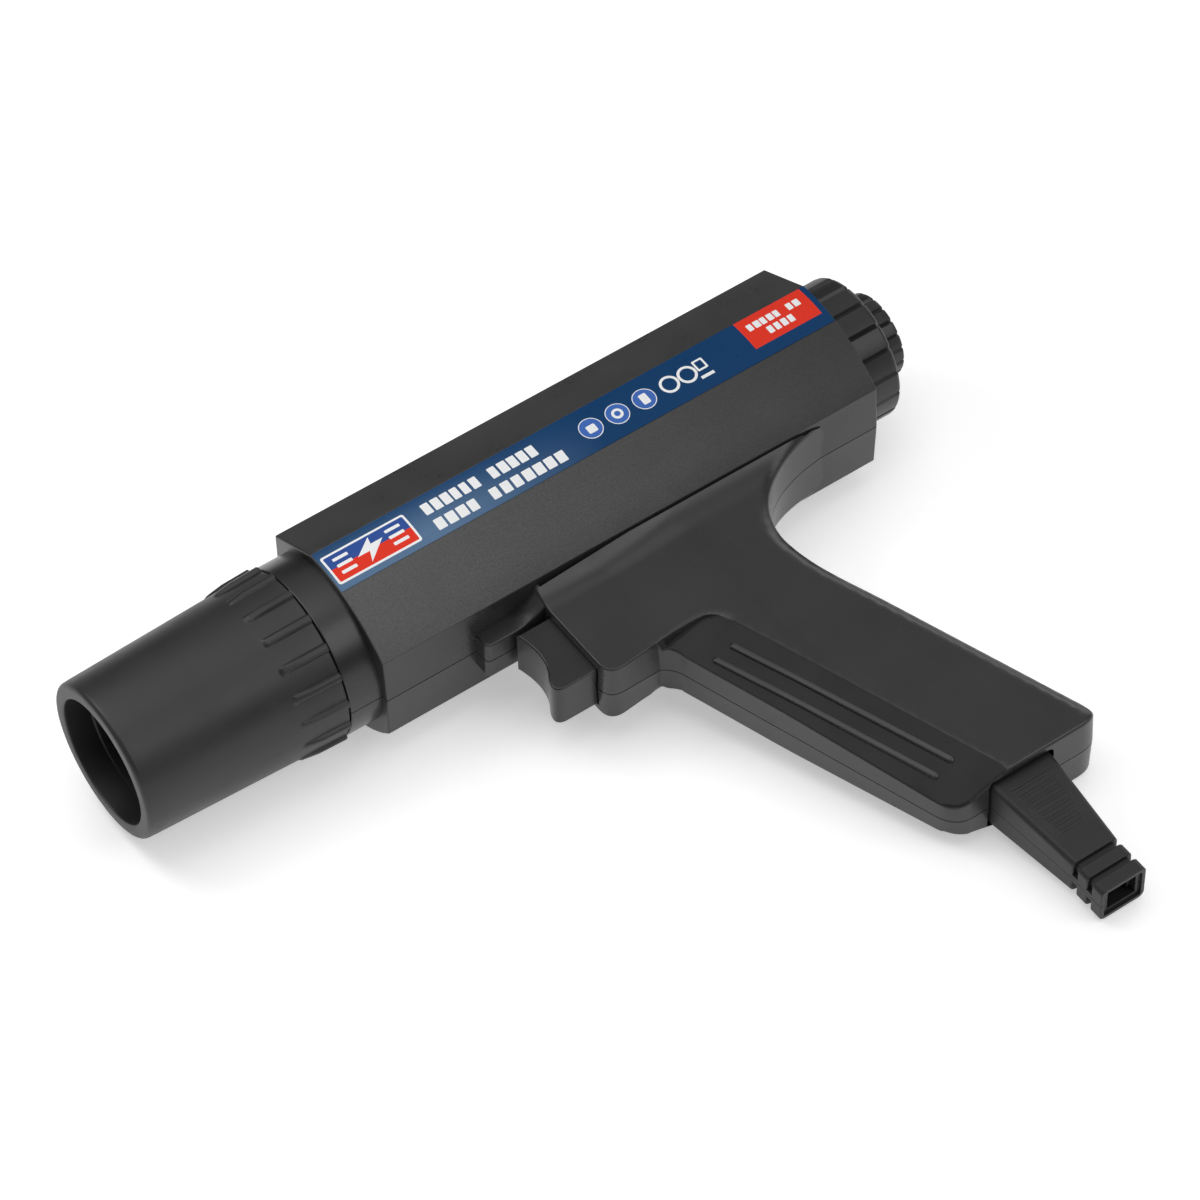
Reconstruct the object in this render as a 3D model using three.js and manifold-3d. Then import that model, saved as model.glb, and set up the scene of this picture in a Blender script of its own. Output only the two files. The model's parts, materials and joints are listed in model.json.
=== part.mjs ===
// A hand-held xenon timing light, lying on its right side.
// Inside the gun group: +X runs from the lens to the knob along the barrel axis, -Y runs down the
// handle, and +Z is the gun's left side. All lengths are in millimetres.
import * as THREE from 'three';
import { mergeVertices } from 'three/addons/utils/BufferGeometryUtils.js';
import Module from 'manifold-3d';

const wasm = await Module();
wasm.setup();

// ---- driving dimensions ----
const GAP = 0.3; // clearance between pieces that touch
const WALL = 2.5; // thickness of the case shells
const LIE_ANGLE = THREE.MathUtils.degToRad(6.1); // roll at which barrel and handle end both touch

const BARREL_LENGTH = 162;
const BARREL_TOP = 24.4; // flat top face
const BARREL_TOP_HALF = 18.2;
const RIDGE = [6.7, 27.1]; // [y, z] of the edge between chamfer and side
const LABEL_EDGE = [-7.9, 25.9]; // [y, z] of the label's lower edge
const SKIRT = [-26.7, 14.7]; // [y, z] of the edge between side and underside
const KEEL = -27.4; // underside at the split line
const LABEL_THICKNESS = 0.4;

const COLLAR_RADIUS = 25.2;
const COLLAR_FRONT = -10;
const SPIGOT_RADIUS = 22.4;
const SPIGOT_FRONT = -28;
const SPIGOT_BORE = 20.2;

const HOOD_FRONT = -71.5;
const HOOD_REAR = COLLAR_FRONT - GAP;
const HOOD_FRONT_RADIUS = 23.1;
const HOOD_REAR_RADIUS = 25.1;
const HOOD_BORE = 18.5;
const LENS_RADIUS = 20.6;
const LENS_SEAT = -36; // step in the hood's bore that the retaining ring sits behind
const RIB_COUNT = 18;
const RIB_LENGTH = 14.6;
const RIB_WIDTH = 2.6;
const RIB_HEIGHT = 1.1;

const BLOCK_HALF = 10; // half thickness of the trigger block
const GRIP_HALF = 11.5; // half thickness of the grip
const HANDLE_END = -148.5;
const STRAP_RAKE = 0.326; // rake of the front strap, x per -y
const BACK_RAKE = 0.341; // rake of the back strap, x per -y

const TRIGGER_HALF = 7.2;
const TRIGGER_REAR = 58;

const KNOB_FRONT = 163.2;
const KNOB_STEP = 174.6;
const KNOB_REAR = 183.2;
const KNOB_RADIUS = 21.3;
const KNOB_SMALL_RADIUS = 12.6;
const KNOB_FLUTES = 18;
const SHAFT_RADIUS = 3;
const BUSHING_RADIUS = 4.4; // threaded neck of the potentiometer, through the case's rear wall

const PLUG_X = 116.1; // plug's axis in the handle
const PLUG_TOP = -141; // end of the plug inside the handle
const PLUG_END = -190.3;
const PLUG_TAPER_END = -178.7;
const PLUG_BASE = [10, 7.85]; // half sizes along x and z
const PLUG_NECK = [7.3, 6];
const RECESS_HALF = [10.6, 9.4]; // recess round the plug in the handle's end
const RECESS_DEPTH = 5.5;

const SCREW_PLACES = [[14, 17.5], [140, 17.5], [132, -19], [80, -75], [122, -112]];
const SCREW_HEAD_SEAT = -7; // z of the screw heads' seats

// ---- materials ----
const material = (color, roughness, metalness = 0) =>
  new THREE.MeshStandardMaterial({ color, roughness, metalness });
const CASE = material(0x38383a, 0.45);
const GLOSS = material(0x242425, 0.3);
const NAVY = material(0x1c3c66, 0.35);
const GLASS = material(0xdfe8ee, 0.05);
const CHROME = material(0xd8dadc, 0.12, 1);
const BRASS = material(0xc9a24a, 0.3, 1);
const STEEL = material(0xa8abad, 0.35, 1);
const BOARD = material(0x2d6b3c, 0.5);
const BLACK = material(0x1c1c1d, 0.5);
const COPPER = material(0xa8572c, 0.4, 0.6);
const RED_WIRE = material(0xa52a22, 0.45);

// ---- helpers ----
// A closed geometry as a manifold-3d solid.
function solid(geometry) {
  const bare = geometry.clone();
  bare.deleteAttribute('normal');
  bare.deleteAttribute('uv');
  const merged = mergeVertices(bare, 1e-4);
  const vertProperties = new Float32Array(merged.attributes.position.array);
  const triVerts = new Uint32Array(merged.index.array);
  return new wasm.Manifold(new wasm.Mesh({ numProp: 3, vertProperties, triVerts }));
}

// A manifold-3d solid as a geometry.
function geometryOf(body) {
  const mesh = body.getMesh();
  const geometry = new THREE.BufferGeometry();
  geometry.setAttribute('position', new THREE.BufferAttribute(mesh.vertProperties, 3));
  geometry.setIndex(new THREE.BufferAttribute(mesh.triVerts, 1));
  return geometry;
}

const toShape = (points) => new THREE.Shape(points.map(([a, b]) => new THREE.Vector2(a, b)));

// An [x, y] outline extruded from z0 to z1.
function plate(points, z0, z1) {
  const shape = points instanceof THREE.Shape ? points : toShape(points);
  const geometry = new THREE.ExtrudeGeometry(shape, { depth: z1 - z0, bevelEnabled: false, curveSegments: 10 });
  return solid(geometry.translate(0, 0, z0));
}

// A [y, z] outline extruded from x0 to x1.
function beam(points, x0, x1) {
  const geometry = new THREE.ExtrudeGeometry(toShape(points), { depth: x1 - x0, bevelEnabled: false });
  const basis = new THREE.Matrix4().makeBasis(
    new THREE.Vector3(0, 1, 0),
    new THREE.Vector3(0, 0, 1),
    new THREE.Vector3(1, 0, 0),
  );
  return solid(geometry.applyMatrix4(basis).translate(x0, 0, 0));
}

// An [x, z] outline extruded from y0 to y1.
function slab(points, y0, y1) {
  const shape = toShape(points.map(([x, z]) => [x, -z]));
  const geometry = new THREE.ExtrudeGeometry(shape, { depth: y1 - y0, bevelEnabled: false });
  return solid(geometry.rotateX(-Math.PI / 2).translate(0, y0, 0));
}

// A closed [x, r] profile turned about the barrel axis.
function turned(profile, segments = 48) {
  const points = profile.map(([x, r]) => new THREE.Vector2(r, x));
  const geometry = new THREE.LatheGeometry([...points, points[0].clone()], segments);
  const body = solid(geometry.rotateZ(-Math.PI / 2));
  return body.volume() < 0 ? solid(flipped(geometry)) : body;
}

function flipped(geometry) {
  const index = Array.from(geometry.index.array);
  for (let i = 0; i < index.length; i += 3) {
    [index[i], index[i + 1]] = [index[i + 1], index[i]];
  }
  const copy = geometry.clone();
  copy.setIndex(index);
  return copy;
}

function box(x0, x1, y0, y1, z0, z1) {
  const geometry = new THREE.BoxGeometry(x1 - x0, y1 - y0, z1 - z0);
  return solid(geometry.translate((x0 + x1) / 2, (y0 + y1) / 2, (z0 + z1) / 2));
}

// A round bar from one point to another.
function rod(radius, from, to, segments = 20) {
  const a = new THREE.Vector3(...from);
  const b = new THREE.Vector3(...to);
  const along = b.clone().sub(a);
  const geometry = new THREE.CylinderGeometry(radius, radius, along.length(), segments);
  const turn = new THREE.Quaternion().setFromUnitVectors(new THREE.Vector3(0, 1, 0), along.normalize());
  const middle = a.add(b).multiplyScalar(0.5);
  return solid(geometry.applyQuaternion(turn).translate(middle.x, middle.y, middle.z));
}

// A round wire or tube along a smooth curve through points.
function wire(radius, points, steps, sides = 8) {
  const path = new THREE.CatmullRomCurve3(points.map((p) => new THREE.Vector3(...p)));
  const section = new THREE.Shape().absarc(0, 0, radius, 0, 2 * Math.PI);
  const options = { steps, extrudePath: path, bevelEnabled: false, curveSegments: sides };
  return solid(new THREE.ExtrudeGeometry(section, options));
}

// The circle through three points, as centre and radius.
function circleThrough(a, b, c) {
  const d = 2 * (a[0] * (b[1] - c[1]) + b[0] * (c[1] - a[1]) + c[0] * (a[1] - b[1]));
  const square = (p) => p[0] ** 2 + p[1] ** 2;
  const x = (square(a) * (b[1] - c[1]) + square(b) * (c[1] - a[1]) + square(c) * (a[1] - b[1])) / d;
  const y = (square(a) * (c[0] - b[0]) + square(b) * (a[0] - c[0]) + square(c) * (b[0] - a[0])) / d;
  return { x, y, radius: Math.hypot(a[0] - x, a[1] - y) };
}

// Points on a circle from one of its points to another, ends included.
function arc(circle, from, to, steps) {
  const start = Math.atan2(from[1] - circle.y, from[0] - circle.x);
  const end = Math.atan2(to[1] - circle.y, to[0] - circle.x);
  return Array.from({ length: steps + 1 }, (_, i) => {
    const angle = start + ((end - start) * i) / steps;
    return [circle.x + circle.radius * Math.cos(angle), circle.y + circle.radius * Math.sin(angle)];
  });
}

// How far a point is from the edges of a closed outline.
function distanceTo(points, [x, y]) {
  return Math.min(...points.map(([x0, y0], i) => {
    const [x1, y1] = points[(i + 1) % points.length];
    const square = (x1 - x0) ** 2 + (y1 - y0) ** 2;
    const t = THREE.MathUtils.clamp(((x - x0) * (x1 - x0) + (y - y0) * (y1 - y0)) / square, 0, 1);
    return Math.hypot(x - x0 - t * (x1 - x0), y - y0 - t * (y1 - y0));
  }));
}

// A counter-clockwise outline moved inwards by a distance, or outwards by a negative one.
// Points that a tight bend would fold back over the outline are dropped.
function inset(points, distance) {
  if (distance === 0) return points;
  const count = points.length;
  const lines = points.map((p, i) => {
    const q = points[(i + 1) % count];
    const length = Math.hypot(q[0] - p[0], q[1] - p[1]);
    const along = [(q[0] - p[0]) / length, (q[1] - p[1]) / length];
    return { at: [p[0] - along[1] * distance, p[1] + along[0] * distance], along };
  });
  const moved = lines.map((line, i) => {
    const before = lines[(i + count - 1) % count];
    const cross = before.along[0] * line.along[1] - before.along[1] * line.along[0];
    if (Math.abs(cross) < 1e-6) return line.at;
    const dx = line.at[0] - before.at[0];
    const dy = line.at[1] - before.at[1];
    const t = (dx * line.along[1] - dy * line.along[0]) / cross;
    return [before.at[0] + before.along[0] * t, before.at[1] + before.along[1] * t];
  });
  return moved.filter((point) => distanceTo(points, point) > Math.abs(distance) * 0.9999);
}

const counterClockwise = (points) => (THREE.ShapeUtils.area(points.map(([x, y]) => ({ x, y }))) > 0
  ? points
  : [...points].reverse());
const mirrored = (points) => points.map(([y, z]) => [y, -z]).reverse();
const unionOf = (bodies) => bodies.reduce((sum, body) => sum.add(body));

const gun = new THREE.Group();

function add(name, body, finish) {
  const mesh = new THREE.Mesh(body.isBufferGeometry ? body : geometryOf(body), finish);
  mesh.name = name;
  gun.add(mesh);
  return mesh;
}

// ---- barrel section ----
const SIDE_CIRCLE = circleThrough(RIDGE, LABEL_EDGE, SKIRT);
const LABEL_ARC = arc(SIDE_CIRCLE, RIDGE, LABEL_EDGE, 3);
const SIDE_ARC = [...LABEL_ARC, ...arc(SIDE_CIRCLE, LABEL_EDGE, SKIRT, 4).slice(1)];
const BARREL_SECTION = counterClockwise([
  ...mirrored(SIDE_ARC),
  [BARREL_TOP, -BARREL_TOP_HALF],
  [BARREL_TOP, BARREL_TOP_HALF],
  ...SIDE_ARC,
  [KEEL, 0],
]);

// ---- handle outlines ----
const strapX = (y) => 68.4 + STRAP_RAKE * (-67.5 - y);
const backX = (y) => 128.7 + BACK_RAKE * (-102.6 - y);

function handleOutline() {
  const shape = new THREE.Shape();
  shape.moveTo(47.2, -22);
  shape.lineTo(47.2, -56.4);
  shape.quadraticCurveTo(47.2, -61.5, 52.4, -61.5);
  shape.lineTo(63.4, -61.5);
  shape.quadraticCurveTo(66.4, -61.5, strapX(-66), -66);
  shape.lineTo(strapX(-142), -142);
  shape.quadraticCurveTo(strapX(HANDLE_END), HANDLE_END, 100.5, HANDLE_END);
  shape.lineTo(135.5, HANDLE_END);
  shape.quadraticCurveTo(backX(HANDLE_END), HANDLE_END, backX(-140.5), -140.5);
  shape.lineTo(backX(-84), -84);
  shape.bezierCurveTo(118.3, -72.3, 114.2, -64, 113.4, -53);
  shape.bezierCurveTo(112.6, -43, 117.5, -27.9, 149, -27);
  shape.lineTo(149, -22);
  return shape;
}

const HANDLE_POINTS = counterClockwise(handleOutline().extractPoints(8).shape.map((p) => [p.x, p.y]));

// The outline with its edges bevelled by stacking three plates.
function handleBody() {
  const levels = [[0, GRIP_HALF - 2.2], [0.7, GRIP_HALF - 0.8], [2, GRIP_HALF]];
  const grip = unionOf(levels.map(([shrink, half]) => plate(inset(HANDLE_POINTS, shrink), -half, half)));
  const overBlock = box(40, 66, -65, -20, BLOCK_HALF, 20);
  const underBlock = box(40, 66, -65, -20, -20, -BLOCK_HALF);
  return grip.subtract(overBlock).subtract(underBlock);
}

// The concave sweep from the handle's side up to the barrel's lower edge.
function flare() {
  const rise = [[-24, 0], [-24, 14.2], [-26.7, 14.2], [-28.2, 12.9], [-30.4, 11.7], [-34, 10], [-34, 0]];
  const left = beam(rise, 47.6, 143);
  const right = beam(mirrored(rise), 47.6, 143);
  const within = plate(inset(HANDLE_POINTS, 0.4), -20, 20);
  return left.add(right).intersect(within);
}

// The finger stop ahead of the trigger, which sweeps up into the flare.
function fingerStop() {
  const side = [[28.5, 6.4], [39, 6.4], [44, 7.8], [48.6, 11.3]];
  const outline = [...side, ...side.map(([x, z]) => [x, -z]).reverse()];
  const tip = new THREE.Shape();
  tip.moveTo(28.5, -24);
  tip.lineTo(28.5, -30);
  tip.quadraticCurveTo(28.5, -32.5, 32.5, -32.5);
  tip.lineTo(49, -32.5);
  tip.lineTo(49, -24);
  return slab(outline, -33, -24).intersect(plate(tip, -15, 15));
}

// ---- case shells ----
const caseOutside = () => unionOf([
  beam(BARREL_SECTION, 0, BARREL_LENGTH),
  turned([[COLLAR_FRONT, 0], [COLLAR_FRONT, COLLAR_RADIUS], [1, COLLAR_RADIUS], [1, 0]], 54),
  turned([[SPIGOT_FRONT, 0], [SPIGOT_FRONT, SPIGOT_RADIUS], [-9, SPIGOT_RADIUS], [-9, 0]], 40),
  handleBody(),
  flare(),
  fingerStop(),
]);

const caseInside = () => unionOf([
  beam(inset(BARREL_SECTION, WALL), WALL, BARREL_LENGTH - WALL),
  turned([[SPIGOT_FRONT - 1, 0], [SPIGOT_FRONT - 1, SPIGOT_BORE], [WALL + 1, SPIGOT_BORE], [WALL + 1, 0]], 40),
  plate(inset(HANDLE_POINTS, WALL), -(BLOCK_HALF - WALL), BLOCK_HALF - WALL),
  box(52, 112, -34, -20, -(BLOCK_HALF - WALL), BLOCK_HALF - WALL),
]);

const gripInside = () => plate(inset(HANDLE_POINTS, WALL + 1), -(GRIP_HALF - WALL), GRIP_HALF - WALL)
  .subtract(box(40, 70, -70, -20, -20, 20));

// Openings for the trigger, the potentiometer's bushing and the plug.
const caseOpenings = () => unionOf([
  box(46, 55, -56.6, -33.9, -(TRIGGER_HALF + GAP), TRIGGER_HALF + GAP),
  rod(BUSHING_RADIUS + GAP, [150, 0, 0], [170, 0, 0]),
  box(PLUG_X - PLUG_BASE[0] - GAP, PLUG_X + PLUG_BASE[0] + GAP, HANDLE_END - 1, PLUG_TOP + 2,
    -PLUG_BASE[1] - GAP, PLUG_BASE[1] + GAP),
  box(PLUG_X - RECESS_HALF[0], PLUG_X + RECESS_HALF[0], HANDLE_END - 1, HANDLE_END + RECESS_DEPTH,
    -RECESS_HALF[1], RECESS_HALF[1]),
]);

const raised = (points, height) => points.map(([y, z]) => [y, z + height]);

// The label lies in a shallow recess between the ridge and its lower edge.
const LABEL_SINK = 0.1;
const labelPlate = () => beam(
  counterClockwise([
    ...raised(LABEL_ARC, LABEL_THICKNESS - LABEL_SINK),
    ...raised(LABEL_ARC, -LABEL_SINK).reverse(),
  ]),
  GAP,
  BARREL_LENGTH - GAP,
);

function labelRecess() {
  const floor = raised(LABEL_ARC, -LABEL_SINK - GAP);
  const lower = [floor.at(-1)[0] - GAP, floor.at(-1)[1]];
  const ridge = [RIDGE[0] + 0.8, floor[0][1]];
  const outline = [[ridge[0], 35], ridge, ...floor, lower, [lower[0], 35]];
  return beam(counterClockwise(outline), -1, BARREL_LENGTH + 1);
}

const outside = caseOutside();
const hollow = unionOf([caseInside(), gripInside(), caseOpenings()]);
const skin = outside.subtract(hollow);

const springSeat = box(70.3, 72.3, -57, -44, -9, 9);

function leftShell() {
  const half = box(-80, 190, -200, 40, GAP / 2, 40);
  const bosses = SCREW_PLACES.map(([x, y]) => rod(3.4, [x, y, 0], [x, y, 20]));
  const pilots = SCREW_PLACES.map(([x, y]) => rod(1.6, [x, y, -1], [x, y, 8]));
  const solidHalf = skin.add(unionOf([...bosses, springSeat]).intersect(outside)).intersect(half);
  return solidHalf.subtract(unionOf(pilots)).subtract(labelRecess());
}

function rightShell() {
  const half = box(-80, 190, -200, 40, -40, -GAP / 2);
  const bosses = SCREW_PLACES.map(([x, y]) => rod(4.6, [x, y, 0], [x, y, -20]));
  const holes = SCREW_PLACES.map(([x, y]) => rod(1.6, [x, y, 1], [x, y, -8]));
  const counterbores = SCREW_PLACES.map(([x, y]) => rod(3.1, [x, y, SCREW_HEAD_SEAT], [x, y, -30]));
  const solidHalf = skin.add(unionOf([...bosses, springSeat]).intersect(outside)).intersect(half);
  return solidHalf.subtract(unionOf([...holes, ...counterbores]));
}

add('left_shell', leftShell(), CASE);
add('right_shell', rightShell(), CASE);
add('label_plate', labelPlate(), NAVY);

SCREW_PLACES.forEach(([x, y], i) => {
  const head = rod(2.8, [x, y, SCREW_HEAD_SEAT - GAP], [x, y, SCREW_HEAD_SEAT - GAP - 2]);
  const shank = rod(1.25, [x, y, SCREW_HEAD_SEAT - GAP - 1], [x, y, 7], 12);
  add(`case_screw_${i + 1}`, head.add(shank), STEEL);
});

// ---- lens hood, lens and ring ----
function hoodProfile() {
  return [
    [HOOD_FRONT + 1.5, HOOD_FRONT_RADIUS],
    [HOOD_REAR, HOOD_REAR_RADIUS],
    [HOOD_REAR, SPIGOT_RADIUS + GAP],
    [SPIGOT_FRONT - GAP, SPIGOT_RADIUS + GAP],
    [SPIGOT_FRONT - GAP, LENS_RADIUS + GAP],
    [LENS_SEAT, LENS_RADIUS + GAP],
    [LENS_SEAT, HOOD_BORE - 0.6],
    [HOOD_FRONT + 8, HOOD_BORE - 0.6],
    [HOOD_FRONT + 7, HOOD_BORE],
    [HOOD_FRONT + 1, HOOD_BORE],
    [HOOD_FRONT, HOOD_BORE + 1],
    [HOOD_FRONT, HOOD_FRONT_RADIUS - 1.6],
    [HOOD_FRONT + 0.4, HOOD_FRONT_RADIUS - 0.6],
  ];
}

function hoodRibs() {
  return Array.from({ length: RIB_COUNT }, (_, i) => {
    const angle = ((i + 0.5) * 2 * Math.PI) / RIB_COUNT;
    const top = HOOD_REAR_RADIUS + RIB_HEIGHT;
    const front = HOOD_REAR - RIB_LENGTH;
    const root = HOOD_REAR_RADIUS - RIB_HEIGHT;
    const nose = [[front, root], [front + 0.6, top - 0.9], [front + 2, top - 0.3]];
    const side = [...nose, [HOOD_REAR, top], [HOOD_REAR, root]];
    const across = [[front, -0.6], [front + 1.2, -RIB_WIDTH / 2], [HOOD_REAR, -RIB_WIDTH / 2]];
    const footprint = [...across, ...across.map(([x, z]) => [x, -z]).reverse()];
    const rib = plate(counterClockwise(side), -2, 2).intersect(slab(counterClockwise(footprint), 20, 30));
    return rib.rotate([THREE.MathUtils.radToDeg(angle), 0, 0]);
  });
}

add('lens_hood', turned(hoodProfile(), 54).add(unionOf(hoodRibs())), CASE);

const LENS_REAR = SPIGOT_FRONT - GAP;
const lensProfile = [[LENS_REAR, 0], [LENS_REAR, LENS_RADIUS], [LENS_REAR - 2, LENS_RADIUS],
  [LENS_REAR - 3.4, 14], [LENS_REAR - 4.2, 7], [LENS_REAR - 4.4, 0]];
add('lens', turned(lensProfile, 28), GLASS);

const RING_FRONT = LENS_SEAT + GAP;
const RING_REAR = LENS_REAR - 2 - GAP;
const ringProfile = [[RING_FRONT, LENS_RADIUS], [RING_FRONT, 18.6], [RING_REAR - 1, 18.6],
  [RING_REAR, 19.4], [RING_REAR, LENS_RADIUS]];
add('lens_retaining_ring', turned(ringProfile, 28), BLACK);

// ---- lamp ----
const MIRROR_VERTEX = 4;
const MIRROR_RIM_RADIUS = 18.6;
const MIRROR_LENGTH = 30.5;
const mirrorR = (x) => MIRROR_RIM_RADIUS * Math.sqrt((MIRROR_VERTEX - x) / MIRROR_LENGTH);
const bowl = [0, 1, 2, 3, 4, 5].map((i) => MIRROR_VERTEX - 2 - i * 5.6);
const mirrorFace = bowl.map((x) => [x, mirrorR(x)]);
const mirrorBack = mirrorFace.map(([x, r]) => [x + 0.6, r + 1]).reverse();
add('reflector', turned([...mirrorFace, ...mirrorBack], 28), CHROME);

const holderProfile = [[-3, 0], [-3, 4.1], [6, 4.1], [6, 12], [20, 12], [20, 0]];
add('lamp_holder', turned(holderProfile, 32), BLACK);

const TUBE_RADIUS = 1.5;
const tubeLeg = [[-3.3, 2.4, 0], [-9, 2.6, 0], [-14.5, 1.9, 0]];
const tubePath = [...tubeLeg, [-16, 0, 0], ...tubeLeg.map(([x, y]) => [x, -y, 0]).reverse()];
add('flash_tube', wire(TUBE_RADIUS, tubePath, 16, 4), GLASS);

// ---- electronics on the main board ----
const BOARD_TOP = -6.4;
const BOARD_THICKNESS = 1.6;
const CAPACITOR_RADIUS = 9;
const COIL_RADIUS = 4.5;
const WINDING_RADIUS = 7.5;
const FIN_PITCH = 5.5;
const onBoard = (height) => BOARD_TOP + GAP + height;
const lyingRod = (radius, x0, x1, y, sides) =>
  rod(radius, [x0, y, onBoard(radius)], [x1, y, onBoard(radius)], sides);

add('main_board', box(26, 122, -20, 12.4, BOARD_TOP - BOARD_THICKNESS, BOARD_TOP), BOARD);
add('flash_capacitor', lyingRod(CAPACITOR_RADIUS, 30, 68, 2.5, 32), NAVY);
add('ignition_coil', lyingRod(COIL_RADIUS, 30, 46, -13, 24), BLACK);
add('step_up_transformer', box(74, 96, -12, 10, onBoard(0), onBoard(9))
  .add(rod(WINDING_RADIUS, [85, -1, onBoard(8)], [85, -1, onBoard(17)], 24)), COPPER);
add('switching_transistor', box(99, 103.5, -9, 1, onBoard(0), onBoard(14)), BLACK);
const fins = [0, 1, 2, 3].map((i) => {
  const y = -12 + FIN_PITCH * i;
  return box(105, 118, y, y + 1.5, onBoard(0), onBoard(15));
});
add('heat_sink', unionOf([box(103.8, 106, -12, 6, onBoard(0), onBoard(16)), ...fins]), STEEL);

// ---- advance potentiometer and knob ----
const SHAFT_FRONT = 150;
const SHAFT_REAR = 177;
const POT_RADIUS = 11.5;
const BUSHING_END = 166.4;
const potCase = rod(POT_RADIUS, [146, 0, 0], [157, 0, 0], 32)
  .add(rod(BUSHING_RADIUS, [156, 0, 0], [BUSHING_END, 0, 0], 24));
const shaftBore = rod(SHAFT_RADIUS + GAP, [SHAFT_FRONT - GAP, 0, 0], [SHAFT_REAR + GAP, 0, 0]);
add('potentiometer', potCase.subtract(shaftBore), STEEL);
add('pot_nut', rod(7, [BARREL_LENGTH + GAP, 0, 0], [BARREL_LENGTH + 2.4, 0, 0], 6)
  .subtract(rod(BUSHING_RADIUS + GAP, [160, 0, 0], [170, 0, 0])), BRASS);
add('pot_shaft', rod(SHAFT_RADIUS, [SHAFT_FRONT, 0, 0], [SHAFT_REAR, 0, 0]), STEEL);

// A round outline cut by narrow V-shaped flutes, as [y, z].
function lobed(radius, depth, halfAngle) {
  const points = [];
  const pitch = (2 * Math.PI) / KNOB_FLUTES;
  for (let i = 0; i < KNOB_FLUTES; i += 1) {
    const centre = i * pitch;
    const lobe = [[halfAngle, radius], [pitch / 2, radius + 0.1], [pitch - halfAngle, radius]];
    [[0, radius - depth], ...lobe].forEach(([turn, r]) => {
      points.push([r * Math.cos(centre + turn), r * Math.sin(centre + turn)]);
    });
  }
  return points;
}

const CAP_RADIUS = 9.3;
const GRUB_X = 171;
const GRUB_RADIUS = 1.7;

function advanceKnob() {
  const ring = beam(lobed(KNOB_RADIUS, 1.1, 0.05), KNOB_FRONT, KNOB_STEP);
  const stub = beam(lobed(KNOB_SMALL_RADIUS, 0.9, 0.07), KNOB_STEP - 1, KNOB_REAR);
  const nutRoom = rod(9, [KNOB_FRONT - 1, 0, 0], [KNOB_FRONT + 4.2, 0, 0], 32);
  const capRoom = rod(CAP_RADIUS + GAP, [KNOB_REAR - 2.4, 0, 0], [KNOB_REAR + 1, 0, 0], 32);
  const grubHole = rod(GRUB_RADIUS + GAP, [GRUB_X, 0, -2], [GRUB_X, 0, -30], 16);
  return ring.add(stub).subtract(unionOf([nutRoom, capRoom, shaftBore, grubHole]));
}

add('advance_knob', advanceKnob(), CASE);
add('knob_cap', rod(CAP_RADIUS, [KNOB_REAR - 2.1, 0, 0], [KNOB_REAR - 0.3, 0, 0], 32), GLOSS);
add('knob_grub_screw', rod(GRUB_RADIUS, [GRUB_X, 0, -3.4], [GRUB_X, 0, -10], 12), STEEL);

// ---- trigger, spring and switch ----
function triggerOutline() {
  const shape = new THREE.Shape();
  shape.moveTo(37, -34.2);
  shape.bezierCurveTo(38.4, -39, 39, -44.5, 36.6, -49.3);
  shape.bezierCurveTo(33.6, -53.6, 34, -56.1, 37.8, -56.1);
  shape.lineTo(TRIGGER_REAR, -56.1);
  shape.lineTo(TRIGGER_REAR, -34.2);
  return shape;
}

add('trigger', plate(triggerOutline(), -TRIGGER_HALF, TRIGGER_HALF), GLOSS);

const SPRING_TURNS = 5;
const SPRING_STEPS = 60;
const springPoints = Array.from({ length: SPRING_STEPS + 1 }, (_, i) => {
  const turn = (i / SPRING_STEPS) * SPRING_TURNS * 2 * Math.PI;
  return [58.9 + (i / SPRING_STEPS) * 10.5, -50.5 + 3.2 * Math.cos(turn), 3.2 * Math.sin(turn)];
});
add('trigger_spring', wire(0.45, springPoints, 70, 3), STEEL);

const LEVER_PIVOT = [65, -44.5];
const LEVER_TIP = [59.5, -36];
add('microswitch', box(66.5, 82, -43, -33, -4.5, 4.5).subtract(box(66, 68, -46, -42, -3, 3)), BLACK);

function switchLever() {
  const tilt = Math.atan2(LEVER_TIP[0] - LEVER_PIVOT[0], LEVER_TIP[1] - LEVER_PIVOT[1]);
  const length = Math.hypot(LEVER_TIP[0] - LEVER_PIVOT[0], LEVER_TIP[1] - LEVER_PIVOT[1]);
  const arm = box(-0.35, 0.35, 0, length, -2.2, 2.2);
  const pivot = rod(0.9, [0, 0, -2.6], [0, 0, 2.6], 14);
  const roller = rod(0.8, [0, length, -2.2], [0, length, 2.2], 14);
  return unionOf([arm, pivot, roller])
    .rotate([0, 0, -THREE.MathUtils.radToDeg(tilt)])
    .translate([LEVER_PIVOT[0], LEVER_PIVOT[1], 0]);
}

add('switch_lever', switchLever(), STEEL);

// ---- socket in the handle and its pins ----
const SOCKET_BOTTOM = -138.4;
const PIN_SPREAD = 4.2;
const SOCKET_HALF = [8.6, 6.8];
add('handle_socket', box(PLUG_X - SOCKET_HALF[0], PLUG_X + SOCKET_HALF[0], SOCKET_BOTTOM, -127,
  -SOCKET_HALF[1], SOCKET_HALF[1]), BLACK);
[-1, 0, 1].forEach((side, i) => {
  const x = PLUG_X + side * PIN_SPREAD;
  add(`socket_pin_${i + 1}`, rod(1, [x, SOCKET_BOTTOM - GAP, 0], [x, -152, 0], 14), BRASS);
});

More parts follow.
